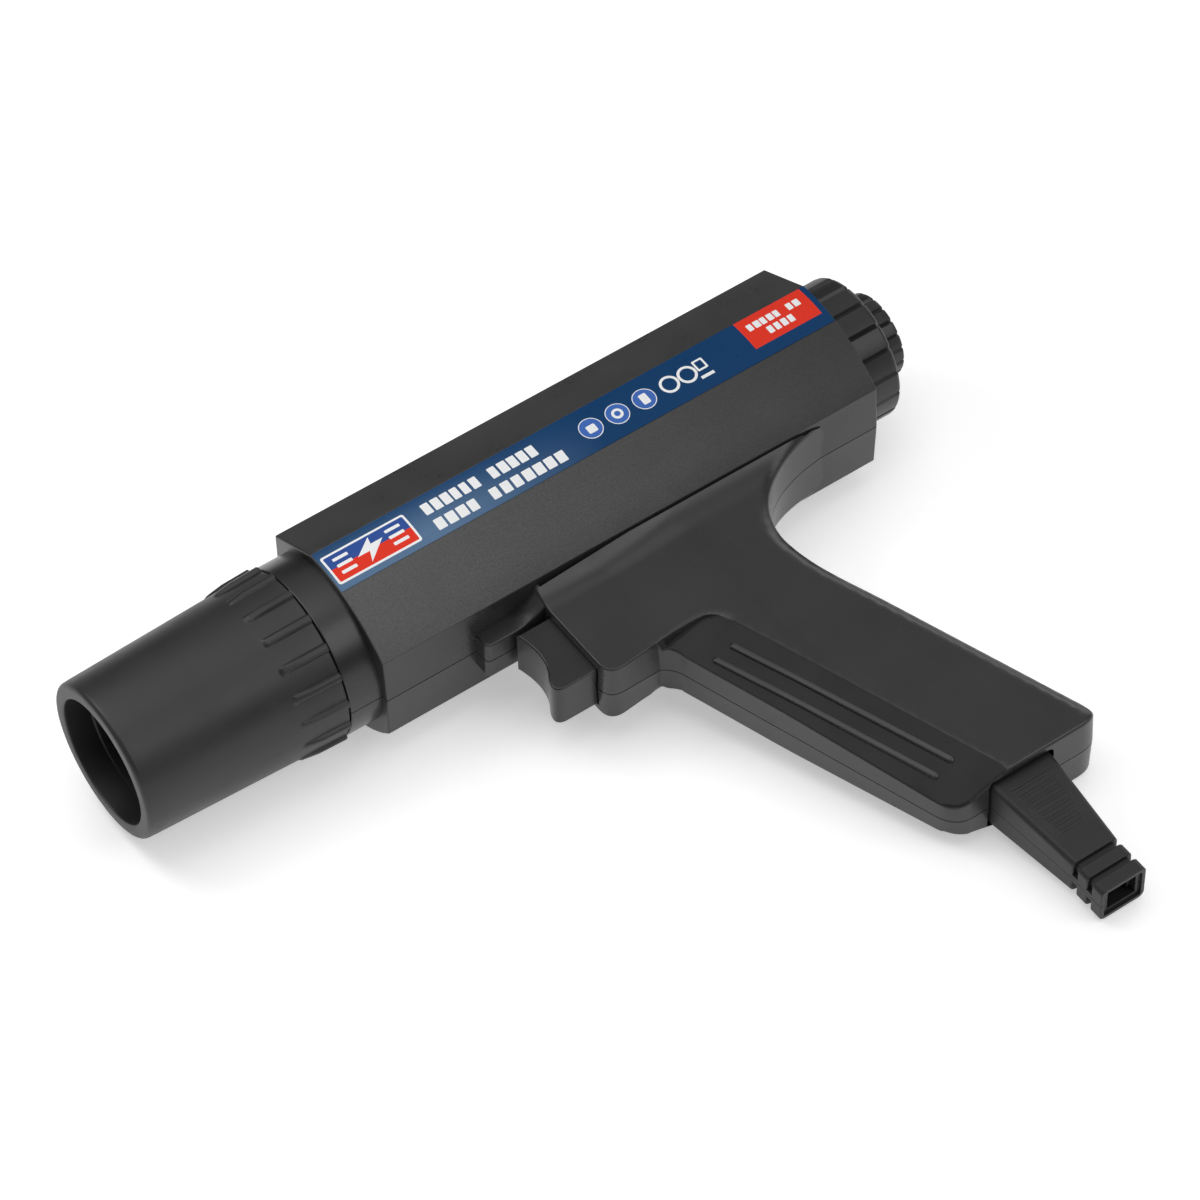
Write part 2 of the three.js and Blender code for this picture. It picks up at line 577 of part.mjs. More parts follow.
// ---- cord plug ----
// Rectangular stations joined into one tapering solid: each is [y, half x, half z].
function tapered(stations) {
  const parts = stations.slice(1).map(([y1, hx1, hz1], i) => {
    const [y0, hx0, hz0] = stations[i];
    const geometry = new THREE.BoxGeometry(1, y0 - y1, 1);
    const position = geometry.attributes.position;
    for (let k = 0; k < position.count; k += 1) {
      const top = position.getY(k) > 0;
      position.setX(k, Math.sign(position.getX(k)) * (top ? hx0 : hx1));
      position.setZ(k, Math.sign(position.getZ(k)) * (top ? hz0 : hz1));
    }
    return solid(geometry.translate(PLUG_X, (y0 + y1) / 2, 0));
  });
  return unionOf(parts);
}

const CARRIER_HALF = [7, 5];
const CARRIER_END = -157;

function plugSlots() {
  const web = 1.4;
  const starts = [PLUG_TAPER_END, PLUG_TAPER_END - 5.8];
  return unionOf(starts.flatMap((y) => [1, -1].map((side) => box(
    PLUG_X - 9, PLUG_X + 9, y - 1.7, y, Math.min(side * web, side * 9), Math.max(side * web, side * 9),
  ))));
}

const plugOutside = tapered([
  [PLUG_TOP, ...PLUG_BASE],
  [HANDLE_END - 0.5, ...PLUG_BASE],
  [PLUG_TAPER_END, ...PLUG_NECK],
  [PLUG_END, ...PLUG_NECK],
]);
const plugInside = unionOf([
  box(PLUG_X - CARRIER_HALF[0] - GAP, PLUG_X + CARRIER_HALF[0] + GAP, CARRIER_END - GAP, PLUG_TOP + 1,
    -CARRIER_HALF[1] - GAP, CARRIER_HALF[1] + GAP),
  tapered([[CARRIER_END + 1, 5.6, 4.2], [PLUG_END - 1, 5.5, 4.2]]),
]);
const PLUG_SCREW_Y = -168;
const plugBody = plugOutside.subtract(plugInside).subtract(plugSlots());
const screwPost = rod(2.6, [PLUG_X, PLUG_SCREW_Y, -6], [PLUG_X, PLUG_SCREW_Y, 6]).intersect(plugOutside);
const screwHole = unionOf([
  rod(1.3, [PLUG_X, PLUG_SCREW_Y, -10], [PLUG_X, PLUG_SCREW_Y, 4], 14),
  rod(2.1, [PLUG_X, PLUG_SCREW_Y, -10], [PLUG_X, PLUG_SCREW_Y, -4.4], 14),
]);
const plugSolid = plugBody.add(screwPost).subtract(screwHole);

add('plug_upper_half', plugSolid.intersect(box(90, 140, -200, -130, GAP / 2, 20)), BLACK);
add('plug_lower_half', plugSolid.intersect(box(90, 140, -200, -130, -20, -GAP / 2)), BLACK);
add('plug_screw', rod(1, [PLUG_X, PLUG_SCREW_Y, 3.6], [PLUG_X, PLUG_SCREW_Y, -5], 12)
  .add(rod(1.8, [PLUG_X, PLUG_SCREW_Y, -4.7], [PLUG_X, PLUG_SCREW_Y, -6], 14)), STEEL);

const carrierBores = [-1, 0, 1].map((side) => {
  const x = PLUG_X + side * PIN_SPREAD;
  return rod(1.85, [x, PLUG_TOP + 1, 0], [x, -154, 0], 16);
});
add('contact_carrier', box(PLUG_X - CARRIER_HALF[0], PLUG_X + CARRIER_HALF[0], CARRIER_END, PLUG_TOP,
  -CARRIER_HALF[1], CARRIER_HALF[1]).subtract(unionOf(carrierBores)), BLACK);

// ---- leads between the inner pieces ----
const SUPPLY_RADIUS = 1.8;
const LEAD_RADIUS = 1.1;
const supplyPath = [[112, -126.6, 0], [109, -108, 0], [105, -80, 0], [102, -50, 0], [103, -30, -1],
  [106, -20.8, -2.6]];
const lampPath = [[21, -4, 0], [22.8, -5.4, 0], [24, -9, -2], [24.3, -12, -6], [24.4, -14, -7.2]];
const potPath = [[145.6, -5, 0], [141, -7, -1], [133, -9, -5], [122.6, -10, -7]];
add('supply_lead', wire(SUPPLY_RADIUS, supplyPath, 22, 3), BLACK);
add('lamp_lead', wire(LEAD_RADIUS, lampPath, 12, 3), RED_WIRE);
add('pot_lead', wire(LEAD_RADIUS, potPath, 12, 3), RED_WIRE);

// ---- the gun at rest: rolled so that it lies on its barrel and its handle's end ----
gun.rotation.x = LIE_ANGLE;
gun.updateMatrixWorld(true);
const extent = new THREE.Box3().setFromObject(gun, true);
const middle = extent.getCenter(new THREE.Vector3());
gun.position.set(-middle.x, -middle.y, -extent.min.z);

export default gun;
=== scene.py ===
"""A pistol-grip xenon timing light, lying on its right side on a pale floor.

Shapes are built in the gun's own frame, in millimetres: +X runs along the barrel from the
lens to the knob, -Y down the handle and +Z out of the gun's left side, with x = 0 at the
front of the barrel and z = 0 on the plane where the two case shells meet. GUN turns that
frame into the row frame in metres.
"""
import json
import math
import random

import bmesh
import bpy
import numpy as np
from mathutils import Matrix, Vector
from mathutils.geometry import delaunay_2d_cdt


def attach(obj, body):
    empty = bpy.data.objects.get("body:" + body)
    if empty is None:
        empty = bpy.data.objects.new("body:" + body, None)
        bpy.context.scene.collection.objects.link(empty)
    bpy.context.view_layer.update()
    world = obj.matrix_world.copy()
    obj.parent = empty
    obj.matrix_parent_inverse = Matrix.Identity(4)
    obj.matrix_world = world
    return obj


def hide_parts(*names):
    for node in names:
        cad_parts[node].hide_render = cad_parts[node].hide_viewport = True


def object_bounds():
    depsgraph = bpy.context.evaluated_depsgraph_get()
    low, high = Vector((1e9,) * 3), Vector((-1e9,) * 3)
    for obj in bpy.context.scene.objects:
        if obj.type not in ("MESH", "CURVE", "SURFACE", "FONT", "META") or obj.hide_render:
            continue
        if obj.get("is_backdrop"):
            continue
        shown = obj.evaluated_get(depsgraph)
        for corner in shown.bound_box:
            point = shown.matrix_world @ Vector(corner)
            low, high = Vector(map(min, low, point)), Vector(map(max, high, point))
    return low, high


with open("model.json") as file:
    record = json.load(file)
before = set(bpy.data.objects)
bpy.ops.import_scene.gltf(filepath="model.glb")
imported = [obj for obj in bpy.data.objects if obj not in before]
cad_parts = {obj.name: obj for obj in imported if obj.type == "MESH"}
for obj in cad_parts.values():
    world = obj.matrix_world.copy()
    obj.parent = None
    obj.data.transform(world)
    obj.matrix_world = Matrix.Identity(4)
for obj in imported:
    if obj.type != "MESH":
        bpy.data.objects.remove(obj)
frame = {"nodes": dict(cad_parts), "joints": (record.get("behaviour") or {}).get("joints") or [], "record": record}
CAD_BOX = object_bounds()

# ---- driving dimensions, in millimetres ----
MM = 0.001
GAP = 0.3
WALL = 2.5
BARREL_LENGTH, BARREL_EDGE = 162.0, 0.45
BARREL_TOP = (24.4, 18.2)
RIDGE = (6.7, 27.1)
LABEL_EDGE = (-7.9, 25.9)
SKIRT = (-26.7, 14.7)
KEEL = -27.4
COLLAR_FRONT, COLLAR_RADIUS = -10.0, 25.2
SPIGOT_FRONT, SPIGOT_RADIUS, SPIGOT_BORE = -28.0, 22.4, 20.2
HOOD_FRONT, HOOD_REAR = -71.5, -10.3
HOOD_FRONT_RADIUS, HOOD_REAR_RADIUS, HOOD_BORE = 23.1, 25.1, 18.5
LENS_SEAT, LENS_RADIUS = -36.0, 20.6
RIB_COUNT, RIB_LENGTH, RIB_WIDTH, RIB_HEIGHT = 18, 14.6, 2.7, 1.05
BLOCK_TOP, GRIP_TOP = 10.0, 11.4
BACK_ROUNDING = 4.6
HANDLE_END = -148.5
TRIGGER_HALF, TRIGGER_REAR, TRIGGER_EDGE = 7.2, 58.0, 0.55
KNOB_FRONT, KNOB_STEP, KNOB_REAR = 163.2, 175.3, 183.2
KNOB_RADIUS, CAP_RADIUS, KNOB_FLUTES = 21.3, 12.6, 18
PLUG_X, PLUG_FRONT, PLUG_END = 116.1, -141.0, -190.3
PLUG_BASE, PLUG_NECK, CARRIER_SEAT = (10.0, 7.85), (7.3, 6.0), (7.3, 5.3)
SCREW_PLACES = [(14, 17.5), (140, 17.5), (132, -19), (80, -75), (122, -112)]
SCREW_SEAT = -7.0
SCREW_BOSS, HEAD_BOSS, SCREW_PILOT, HEAD_BORE = 3.4, 4.6, 1.6, 3.1
HOOD_TURN_X = -20.0

joints = {j["name"]: j for j in frame["joints"]}


def gun_matrix():
    x = Vector((1, 0, 0))
    y = -Vector(joints["plug_pull"]["axis"]).normalized()
    turn = Matrix((x, y, x.cross(y))).transposed().to_4x4()
    turn.translation = Vector(joints["hood_turn"]["pos_m"]) - HOOD_TURN_X * MM * x
    return turn @ Matrix.Scale(MM, 4)


GUN = gun_matrix()


# ---- curves and outlines ----
def bezier(points, steps):
    """Points along a Bezier curve of any degree, without its first one."""
    made = []
    for i in range(1, steps + 1):
        t, level = i / steps, [np.array(p, float) for p in points]
        while len(level) > 1:
            level = [a + (b - a) * t for a, b in zip(level, level[1:])]
        made.append(level[0])
    return made


def filleted(corners, steps=4):
    """A closed outline of (x, y, radius) corners, each rounded by an arc."""
    made = []
    for i, (x, y, radius) in enumerate(corners):
        p = np.array((x, y), float)
        if radius <= 0:
            made.append(p)
            continue
        a = np.array(corners[i - 1][:2]) - p
        b = np.array(corners[(i + 1) % len(corners)][:2]) - p
        a, b = a / np.linalg.norm(a), b / np.linalg.norm(b)
        half = math.acos(np.clip(a @ b, -1, 1)) / 2
        centre = p + (a + b) / np.linalg.norm(a + b) * radius / math.sin(half)
        start, end = p + a * radius / math.tan(half), p + b * radius / math.tan(half)
        first = math.atan2(*(start - centre)[::-1])
        sweep = (math.atan2(*(end - centre)[::-1]) - first + math.pi) % (2 * math.pi) - math.pi
        for k in range(steps + 1):
            angle = first + sweep * k / steps
            made.append(centre + radius * np.array((math.cos(angle), math.sin(angle))))
    return np.array(made)


def spaced(points, step):
    """A closed outline with its long edges divided, and points closer than 0.05 mm joined."""
    points = [np.array(p, float) for p in points]
    made = []
    for a, b in zip(points, points[1:] + points[:1]):
        length = np.linalg.norm(b - a)
        if length < 0.05:
            continue
        count = max(1, round(length / step))
        made += [a + (b - a) * k / count for k in range(count)]
    return np.array(made)


def inward(points):
    """Unit normals into a counter-clockwise outline."""
    ahead = np.roll(points, -1, 0) - points
    ahead /= np.linalg.norm(ahead, axis=1)[:, None]
    mean = ahead + np.roll(ahead, 1, 0)
    mean /= np.linalg.norm(mean, axis=1)[:, None]
    return np.stack([-mean[:, 1], mean[:, 0]], 1)


def distance_to(points, p, closed=True):
    """How far p is from a polyline."""
    a = np.array(points, float)
    b = np.roll(a, -1, 0)
    if not closed:
        a, b = a[:-1], b[:-1]
    ab = b - a
    t = np.clip(((p - a) * ab).sum(1) / np.maximum((ab * ab).sum(1), 1e-12), 0, 1)
    return np.sqrt((((a + ab * t[:, None]) - p) ** 2).sum(1)).min()


def inside(points, p):
    x, y = p
    a = np.array(points, float)
    b = np.roll(a, -1, 0)
    cross = (a[:, 1] > y) != (b[:, 1] > y)
    at = a[:, 0] + (y - a[:, 1]) * (b[:, 0] - a[:, 0]) / np.where(b[:, 1] == a[:, 1], 1e-12, b[:, 1] - a[:, 1])
    return bool((cross & (x < at)).sum() % 2)


def smooth(a, b, v):
    t = min(1.0, max(0.0, (v - a) / (b - a)))
    return t * t * (3 - 2 * t)


def along(points, t):
    """The point a fraction t of the way along a polyline."""
    points = np.array(points)
    steps = np.linalg.norm(np.diff(points, axis=0), axis=1)
    reach = np.concatenate([[0], np.cumsum(steps)])
    return np.array([np.interp(t * reach[-1], reach, points[:, k]) for k in (0, 1)])


def ramp(a, b, v):
    return min(1.0, max(0.0, (v - a) / (b - a)))


def rounding(radius, degrees):
    """For each angle round an edge, how far it lies below the top and inside the wall."""
    turns = [math.radians(d) for d in degrees]
    return [(radius * (1 - math.cos(a)), radius * (1 - math.sin(a))) for a in turns]


def even_angles(count):
    return [2 * math.pi * k / count for k in range(count)]


def disc(x, y, radius, sides=28):
    return [(x + radius * math.cos(a), y + radius * math.sin(a)) for a in even_angles(sides)]


def rounded_box(x0, x1, y0, y1, radius=0.3, steps=3):
    return filleted([(x0, y0, radius), (x1, y0, radius), (x1, y1, radius), (x0, y1, radius)], steps)


# ---- meshes ----
def linked(name, data):
    o = bpy.data.objects.new(name, data)
    bpy.context.scene.collection.objects.link(o)
    return o


def mesh_object(name, verts, faces, slots=1, marks=None):
    mesh = bpy.data.meshes.new(name)
    mesh.from_pydata([tuple(float(c) for c in v) for v in verts], [], [tuple(f) for f in faces])
    for _ in range(slots):
        mesh.materials.append(None)
    if marks is not None:
        mesh.polygons.foreach_set("material_index", marks)
    b = bmesh.new()
    b.from_mesh(mesh)
    bmesh.ops.remove_doubles(b, verts=b.verts, dist=1e-4)
    bmesh.ops.recalc_face_normals(b, faces=b.faces)
    if b.calc_volume(signed=True) < 0:
        bmesh.ops.reverse_faces(b, faces=b.faces)
    b.to_mesh(mesh)
    b.free()
    return linked(name, mesh)


def lofted(rings, capped=True):
    """Vertices and faces through closed rings of equal count."""
    n = len(rings[0])
    verts = [v for ring in rings for v in ring]
    faces = []
    for k in range(len(rings) - 1):
        for i in range(n):
            j = (i + 1) % n
            faces.append((k * n + i, k * n + j, (k + 1) * n + j, (k + 1) * n + i))
    if capped:
        faces.append(tuple(range(n))[::-1])
        faces.append(tuple((len(rings) - 1) * n + i for i in range(n)))
    return verts, faces


def loft(name, rings, slots=1, mark=0):
    verts, faces = lofted(rings)
    return mesh_object(name, verts, faces, slots, [mark] * len(faces))


def boolean(target, tools, operation="DIFFERENCE"):
    for tool in tools:
        for solver in ("MANIFOLD", "EXACT"):
            mod = target.modifiers.new("cut", "BOOLEAN")
            mod.operation, mod.object, mod.solver = operation, tool, solver
            ready = target.evaluated_get(bpy.context.evaluated_depsgraph_get())
            mesh = bpy.data.meshes.new_from_object(ready)
            target.modifiers.clear()
            changed = len(mesh.polygons) != len(target.data.polygons)
            if changed and len(mesh.polygons) > 0:
                break
        else:
            print("boolean changed nothing:", target.name, tool.name, operation)
        target.data = mesh
    for tool in tools:
        bpy.data.objects.remove(tool)
    return target


def prism(outline, z0, z1, slots=1, mark=0):
    """An [x, y] outline extruded along z."""
    return loft("prism", [[(x, y, z) for x, y in outline] for z in (z0, z1)], slots, mark)


def box(x0, x1, y0, y1, z0, z1, slots=1, mark=0):
    return prism([(x0, y0), (x1, y0), (x1, y1), (x0, y1)], z0, z1, slots, mark)


def rod(radius, x, y, z0, z1, sides=40, slots=1, mark=0):
    return prism(disc(x, y, radius, sides), z0, z1, slots, mark)


def revolved(profile, angles, shift=None, slots=1, mark=0, name="turned"):
    """A closed [x, r] profile turned about the barrel axis; shift(i, x, r, angle) gives a new r."""
    n, m = len(profile), len(angles)
    verts, faces = [], []
    for i, (x, r) in enumerate(profile):
        for a in angles:
            rr = shift(i, x, r, a) if shift else r
            verts.append((x, rr * math.cos(a), rr * math.sin(a)))
    for i in range(n):
        j = (i + 1) % n
        if profile[i][1] < 1e-6 and profile[j][1] < 1e-6:
            continue
        for k in range(m):
            q = (k + 1) % m
            quad = (i * m + k, j * m + k, j * m + q, i * m + q)
            if profile[i][1] < 1e-6:
                faces.append((quad[0], quad[1], quad[2]))
            elif profile[j][1] < 1e-6:
                faces.append((quad[0], quad[1], quad[3]))
            else:
                faces.append(quad)
    return mesh_object(name, verts, faces, slots, [mark] * len(faces))


def heightfield(outline, top, radius_at, base, draft_at, lines=(), spacing=1.6, mark_at=None, finer=None):
    """A solid over a counter-clockwise plan outline, with a rounded upper edge.

    top(x, y) is the height without the rounding, radius_at(x, y) the edge's radius,
    draft_at(x, y) how far its wall leans in, and lines are polylines kept as creases.
    """
    normals = inward(outline)
    radii = np.array([radius_at(x, y) for x, y in outline])
    draft = np.array([draft_at(x, y) for x, y in outline])
    rings = [[(x, y, base) for x, y in outline]]
    for degrees in (90, 72, 54, 38, 24, 12, 0):
        a = math.radians(degrees)
        plan = outline + normals * (draft + radii * (1 - math.sin(a)))[:, None]
        rings.append([(x, y, top(x, y) - r * (1 - math.cos(a))) for (x, y), r in zip(plan, radii)])
    verts, faces = lofted(rings, capped=False)
    faces.append(tuple(range(len(outline)))[::-1])
    marks = [0] * len(faces)
    rim = np.array([v[:2] for v in rings[-1]])
    points = [Vector(p) for p in rim]
    edges = []
    kept = []
    for line in lines:
        line = [p for p in line if inside(rim, p) and distance_to(rim, p) > 0.25]
        if len(line) < 2:
            continue
        kept.append(line)
        start = len(points)
        points += [Vector(p) for p in line]
        edges += [(start + k, start + k + 1) for k in range(len(line) - 1)]
    x0, y0 = rim.min(0)
    x1, y1 = rim.max(0)
    y = y0 + spacing / 2
    while y < y1:
        row = spacing if finer is None or y < finer else spacing / 2.5
        for x in np.arange(x0 + spacing / 2, x1, spacing):
            p = np.array((x, y))
            if inside(rim, p) and distance_to(rim, p) > row * 0.55:
                if all(distance_to(line, p, closed=False) > row * 0.4 for line in kept):
                    points.append(Vector(p))
        y += row
    out = delaunay_2d_cdt(points, edges, [list(range(len(rim)))], 1, 1e-5)
    start = len(verts)
    rim_z = {k: rings[-1][k][2] for k in range(len(rim))}
    for p, origin in zip(out[0], out[3]):
        on_rim = [k for k in origin if k < len(rim)]
        verts.append((p.x, p.y, rim_z[on_rim[0]] if on_rim else top(p.x, p.y)))
    for f in out[2]:
        faces.append(tuple(start + i for i in f))
        centre = sum((Vector(verts[start + i]) for i in f), Vector()) / len(f)
        marks.append(mark_at(centre.x, centre.y) if mark_at else 0)
    if mark_at:
        for k, f in enumerate(faces[: len(outline) * 7]):
            centre = sum((Vector(verts[i]) for i in f), Vector()) / len(f)
            ring = k // len(outline)
            if ring >= 4:
                marks[k] = mark_at(centre.x, centre.y)
    return mesh_object("heightfield", verts, faces, SLOTS, marks)


def placed(o, name, body, finishes, replaces=(), sharp=32.0, weighted=True):
    """Moves a piece built in the gun's frame to the row frame, and gives it its body and finish."""
    o.name = o.data.name = name
    o.data.transform(GUN)
    for i, finish in enumerate(finishes):
        o.data.materials[i] = finish
    o.data.polygons.foreach_set("use_smooth", [True] * len(o.data.polygons))
    o.data.set_sharp_from_angle(angle=math.radians(sharp))
    if weighted:
        mod = o.modifiers.new("normals", "WEIGHTED_NORMAL")
        mod.keep_sharp = True
        mod.weight = 50
    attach(o, body)
    if replaces:
        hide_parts(*replaces)
    return o


# ---- finishes ----
def plug_in(links, value, socket):
    if isinstance(value, bpy.types.NodeSocket):
        links.new(value, socket)
    else:
        socket.default_value = value


def maths(tree, operation, *values):
    node = tree.nodes.new("ShaderNodeMath")
    node.operation = operation
    for socket, value in zip(node.inputs, values):
        plug_in(tree.links, value, socket)
    return node.outputs["Value"]


class Finish:
    """A small node tree around one principled shader."""

    def __init__(self, name):
        self.material = bpy.data.materials.new(name)
        self.material.use_nodes = True
        self.nodes, self.links = self.material.node_tree.nodes, self.material.node_tree.links
        self.shader = self.nodes["Principled BSDF"]
        self.where = self.nodes.new("ShaderNodeTexCoord").outputs["Object"]

    def set(self, **values):
        for key, value in values.items():
            self.shader.inputs[key.replace("_", " ")].default_value = value

    def node(self, kind, **inputs):
        """A new node whose inputs take the given links and numbers."""
        made = self.nodes.new("ShaderNode" + kind)
        for key, value in inputs.items():
            plug_in(self.links, value, made.inputs[key.replace("_", " ")])
        return made

    def noise(self, scale, detail=3.0, roughness=0.55, stretch=None):
        where = self.node("Mapping", Vector=self.where, Scale=stretch).outputs["Vector"] if stretch else self.where
        return self.node("TexNoise", Vector=where, Scale=scale, Detail=detail, Roughness=roughness).outputs["Fac"]

    def cells(self, scale):
        return self.node("TexVoronoi", Vector=self.where, Scale=scale).outputs["Distance"]

    def axes(self):
        return self.node("SeparateXYZ", Vector=self.where).outputs

    def ranged(self, value, a, b, to_a, to_b):
        return self.node("MapRange", Value=value, From_Min=a, From_Max=b, To_Min=to_a, To_Max=to_b).outputs["Result"]

    def uneven(self, value, low, high):
        """Roughness that wanders between two levels."""
        self.roughness(self.ranged(value, 0.3, 0.7, low, high))

    def maths(self, operation, a, b):
        return maths(self.material.node_tree, operation, a, b)

    def mix(self, factor, a, b):
        node = self.nodes.new("ShaderNodeMix")
        node.data_type = "RGBA"
        for index, value in ((0, factor), (6, a), (7, b)):
            plug_in(self.links, (*value, 1) if isinstance(value, tuple) else value, node.inputs[index])
        return node.outputs[2]

    def sheen_and_wear_on_edges(self, low=0.515, high=0.58):
        # Painted highlight and wear: a mask of the pointy edges, where the colour is lightened.
        node = self.nodes.new("ShaderNodeNewGeometry")
        return self.ranged(node.outputs["Pointiness"], low, high, 0, 1)

    def colour(self, value):
        self.links.new(value, self.shader.inputs["Base Color"])

    def roughness(self, value):
        self.links.new(value, self.shader.inputs["Roughness"])

    def bump(self, height, distance):
        normal = self.node("Bump", Strength=1.0, Distance=distance, Height=height).outputs["Normal"]
        self.links.new(normal, self.shader.inputs["Normal"])


def shade(level, tint=(1.0, 1.0, 1.0)):
    """A linear colour from an sRGB grey level of 0 to 255."""
    c = level / 255
    linear = c / 12.92 if c <= 0.04045 else ((c + 0.055) / 1.055) ** 2.4
    return tuple(linear * t for t in tint)


def srgb(r, g, b):
    return tuple(shade(v)[0] for v in (r, g, b))


def scaled(colour, factor):
    return tuple(min(1, c * factor) for c in colour)


def moulded(name, level, rough, grain, depth, edge=1.35, specular=0.5, spread=0.06):
    """Moulded black plastic: fine grain, soft mottling, scuffs, and edges painted slightly lighter, partly as wear and
    partly as a painted highlight.
    """
    f = Finish(name)
    base = shade(level, (1.0, 1.0, 0.98))
    broad = f.noise(42, 4)
    body = f.mix(broad, scaled(base, 0.9), scaled(base, 1.12))
    # Painted highlight and wear: pointy edges are painted lighter by the factor edge.
    f.colour(f.mix(f.sheen_and_wear_on_edges(), body, scaled(base, edge)))
    scuffs = f.ranged(f.noise(260, 2, stretch=(1, 0.22, 1)), 0.6, 0.75, 0, 0.05)
    f.roughness(f.maths("ADD", f.ranged(broad, 0.3, 0.7, rough - spread, rough + spread), scuffs))
    f.bump(f.noise(grain, 3), depth)
    f.set(Specular_IOR_Level=specular)
    return f.material


def spark_grain(name, level, rough):
    """The eroded texture of the barrel's sides, with a painted highlight: lighter at the front and growing darker
    towards the knob.
    """
    f = Finish(name)
    base = shade(level)
    fine = f.noise(2100, 4, 0.6)
    # Painted highlight: the grain is painted much lighter at the front end and darker towards the knob.
    painted_light_falloff = f.ranged(f.axes()["X"], -0.05, 0.1, 0, 1)
    body = f.mix(painted_light_falloff, scaled(base, 2.0), scaled(base, 0.6))
    dark = f.mix(painted_light_falloff, scaled(base, 1.25), scaled(base, 0.38))
    f.colour(f.mix(f.ranged(fine, 0.35, 0.65, 0, 1), dark, body))
    f.uneven(f.noise(60, 3), rough - 0.05, rough + 0.05)
    f.bump(f.maths("ADD", fine, f.maths("MULTIPLY", f.cells(1700), 0.5)), 0.00010)
    f.set(Specular_IOR_Level=0.5)
    return f.material


def metal(name, colour, rough, stretch=(1, 1, 1), scale=900):
    f = Finish(name)
    f.set(Metallic=1.0)
    brushed = f.noise(scale, 3, stretch=stretch)
    f.colour(f.mix(brushed, scaled(colour, 0.82), scaled(colour, 1.1)))
    f.uneven(brushed, rough * 0.75, rough * 1.3)
    f.bump(brushed, 0.00001)
    return f.material


def printed(name, colour, painted_sheen=None, rough=0.3, specular=0.15):
    """Print on the glossy label film, with an optional painted sheen that pales it to another colour at one end, fading
    out along the barrel.
    """
    f = Finish(name)
    f.set(Specular_IOR_Level=specular)
    fibre = f.noise(2600, 2)
    if painted_sheen:
        # Painted sheen: the print is paled towards a lighter colour at the front end and lower edge, where light falls
        # on the film.
        axes = f.axes()
        (start, end), (top, low), sheen_colour = painted_sheen
        sheen_mask = f.maths("MULTIPLY", f.ranged(axes["X"], start, end, 1, 0), f.ranged(axes["Y"], top, low, 0, 1))
        f.colour(f.mix(f.ranged(fibre, 0.3, 0.7, 0, 0.12), f.mix(sheen_mask, colour, sheen_colour), scaled(colour, 0.7)))
    else:
        f.colour(f.mix(fibre, scaled(colour, 0.95), scaled(colour, 1.03)))
    f.uneven(f.noise(90, 3), rough - 0.06, rough + 0.08)
    f.bump(fibre, 0.000008)
    return f.material


def clear(name, tint, rough=0.03, ior=1.49):
    f = Finish(name)
    f.set(IOR=ior, Transmission_Weight=1.0)
    f.colour(f.mix(f.noise(30, 2), tint, scaled(tint, 0.97)))
    f.roughness(f.ranged(f.noise(120, 3), 0.35, 0.7, rough, rough + 0.03))
    f.bump(f.noise(220, 2), 0.000004)
    return f.material


CASE = moulded("case satin plastic", 40, 0.3, 2400, 0.000010)
CASE_GRAIN = spark_grain("case spark grain", 62, 0.5)
# The grip panel's edges get a stronger painted highlight.
CASE_PANEL = moulded("grip fine grain", 24, 0.5, 1700, 0.00004, edge=1.6, specular=0.36)
# Painted shade: the case's inside and its hollows are painted darker than its outside.
CASE_SHADED_INSIDE = moulded("case inside", 24, 0.6, 700, 0.00003)
HOOD = moulded("hood satin plastic", 36, 0.45, 2600, 0.000008)
KNOB = moulded("knob satin plastic", 30, 0.4, 2200, 0.000010)
TRIGGER = moulded("trigger polished plastic", 30, 0.26, 2600, 0.000005)
PLUG = moulded("plug grained plastic", 30, 0.5, 1300, 0.00005)
BLACK = moulded("black fitting plastic", 24, 0.5, 900, 0.00002)
# The navy carries a painted sheen, paler at the front and along the lower edge.
NAVY = printed("label navy print", srgb(3, 60, 107), painted_sheen=((-0.02, 0.03), (0.087, 0.0745), srgb(92, 122, 156)))
WHITE = printed("label white print", srgb(250, 251, 252))
RED = printed("label red print", srgb(236, 55, 34))
BLUE = printed("label blue print", srgb(50, 84, 158))
DISC = printed("label disc print", srgb(66, 110, 190))
GLASS = clear("lens glass", (0.86, 0.92, 0.95))
TUBE_GLASS = clear("tube glass", (0.97, 0.98, 1.0), 0.02, 1.46)
MIRROR = metal("mirror bowl", (0.86, 0.86, 0.84), 0.12, scale=300)
STEEL = metal("steel", (0.56, 0.56, 0.57), 0.32)
ALLOY = metal("heat sink alloy", (0.62, 0.63, 0.65), 0.4, (1, 0.1, 1))
BRASS = metal("brass", (0.74, 0.56, 0.27), 0.3)


def board():
    f = Finish("circuit board")
    tracks = f.ranged(f.cells(260), 0.22, 0.3, 0, 1)
    f.colour(f.mix(tracks, (0.02, 0.16, 0.06), (0.008, 0.075, 0.03)))
    f.uneven(f.noise(150, 3), 0.28, 0.42)
    f.bump(tracks, 0.00003)
    return f.material


def sleeve(name, colour, rough, waves, depth):
    """Heat-shrink, enamelled wire or lead insulation, with fine rings."""
    f = Finish(name)
    wave = f.node("TexWave", Vector=f.where, Scale=waves, Distortion=1.5)
    broad = f.noise(120, 3)
    f.colour(f.mix(broad, scaled(colour, 0.8), scaled(colour, 1.15)))
    f.uneven(broad, rough - 0.06, rough + 0.08)
    f.bump(wave.outputs["Fac"], depth)
    return f.material


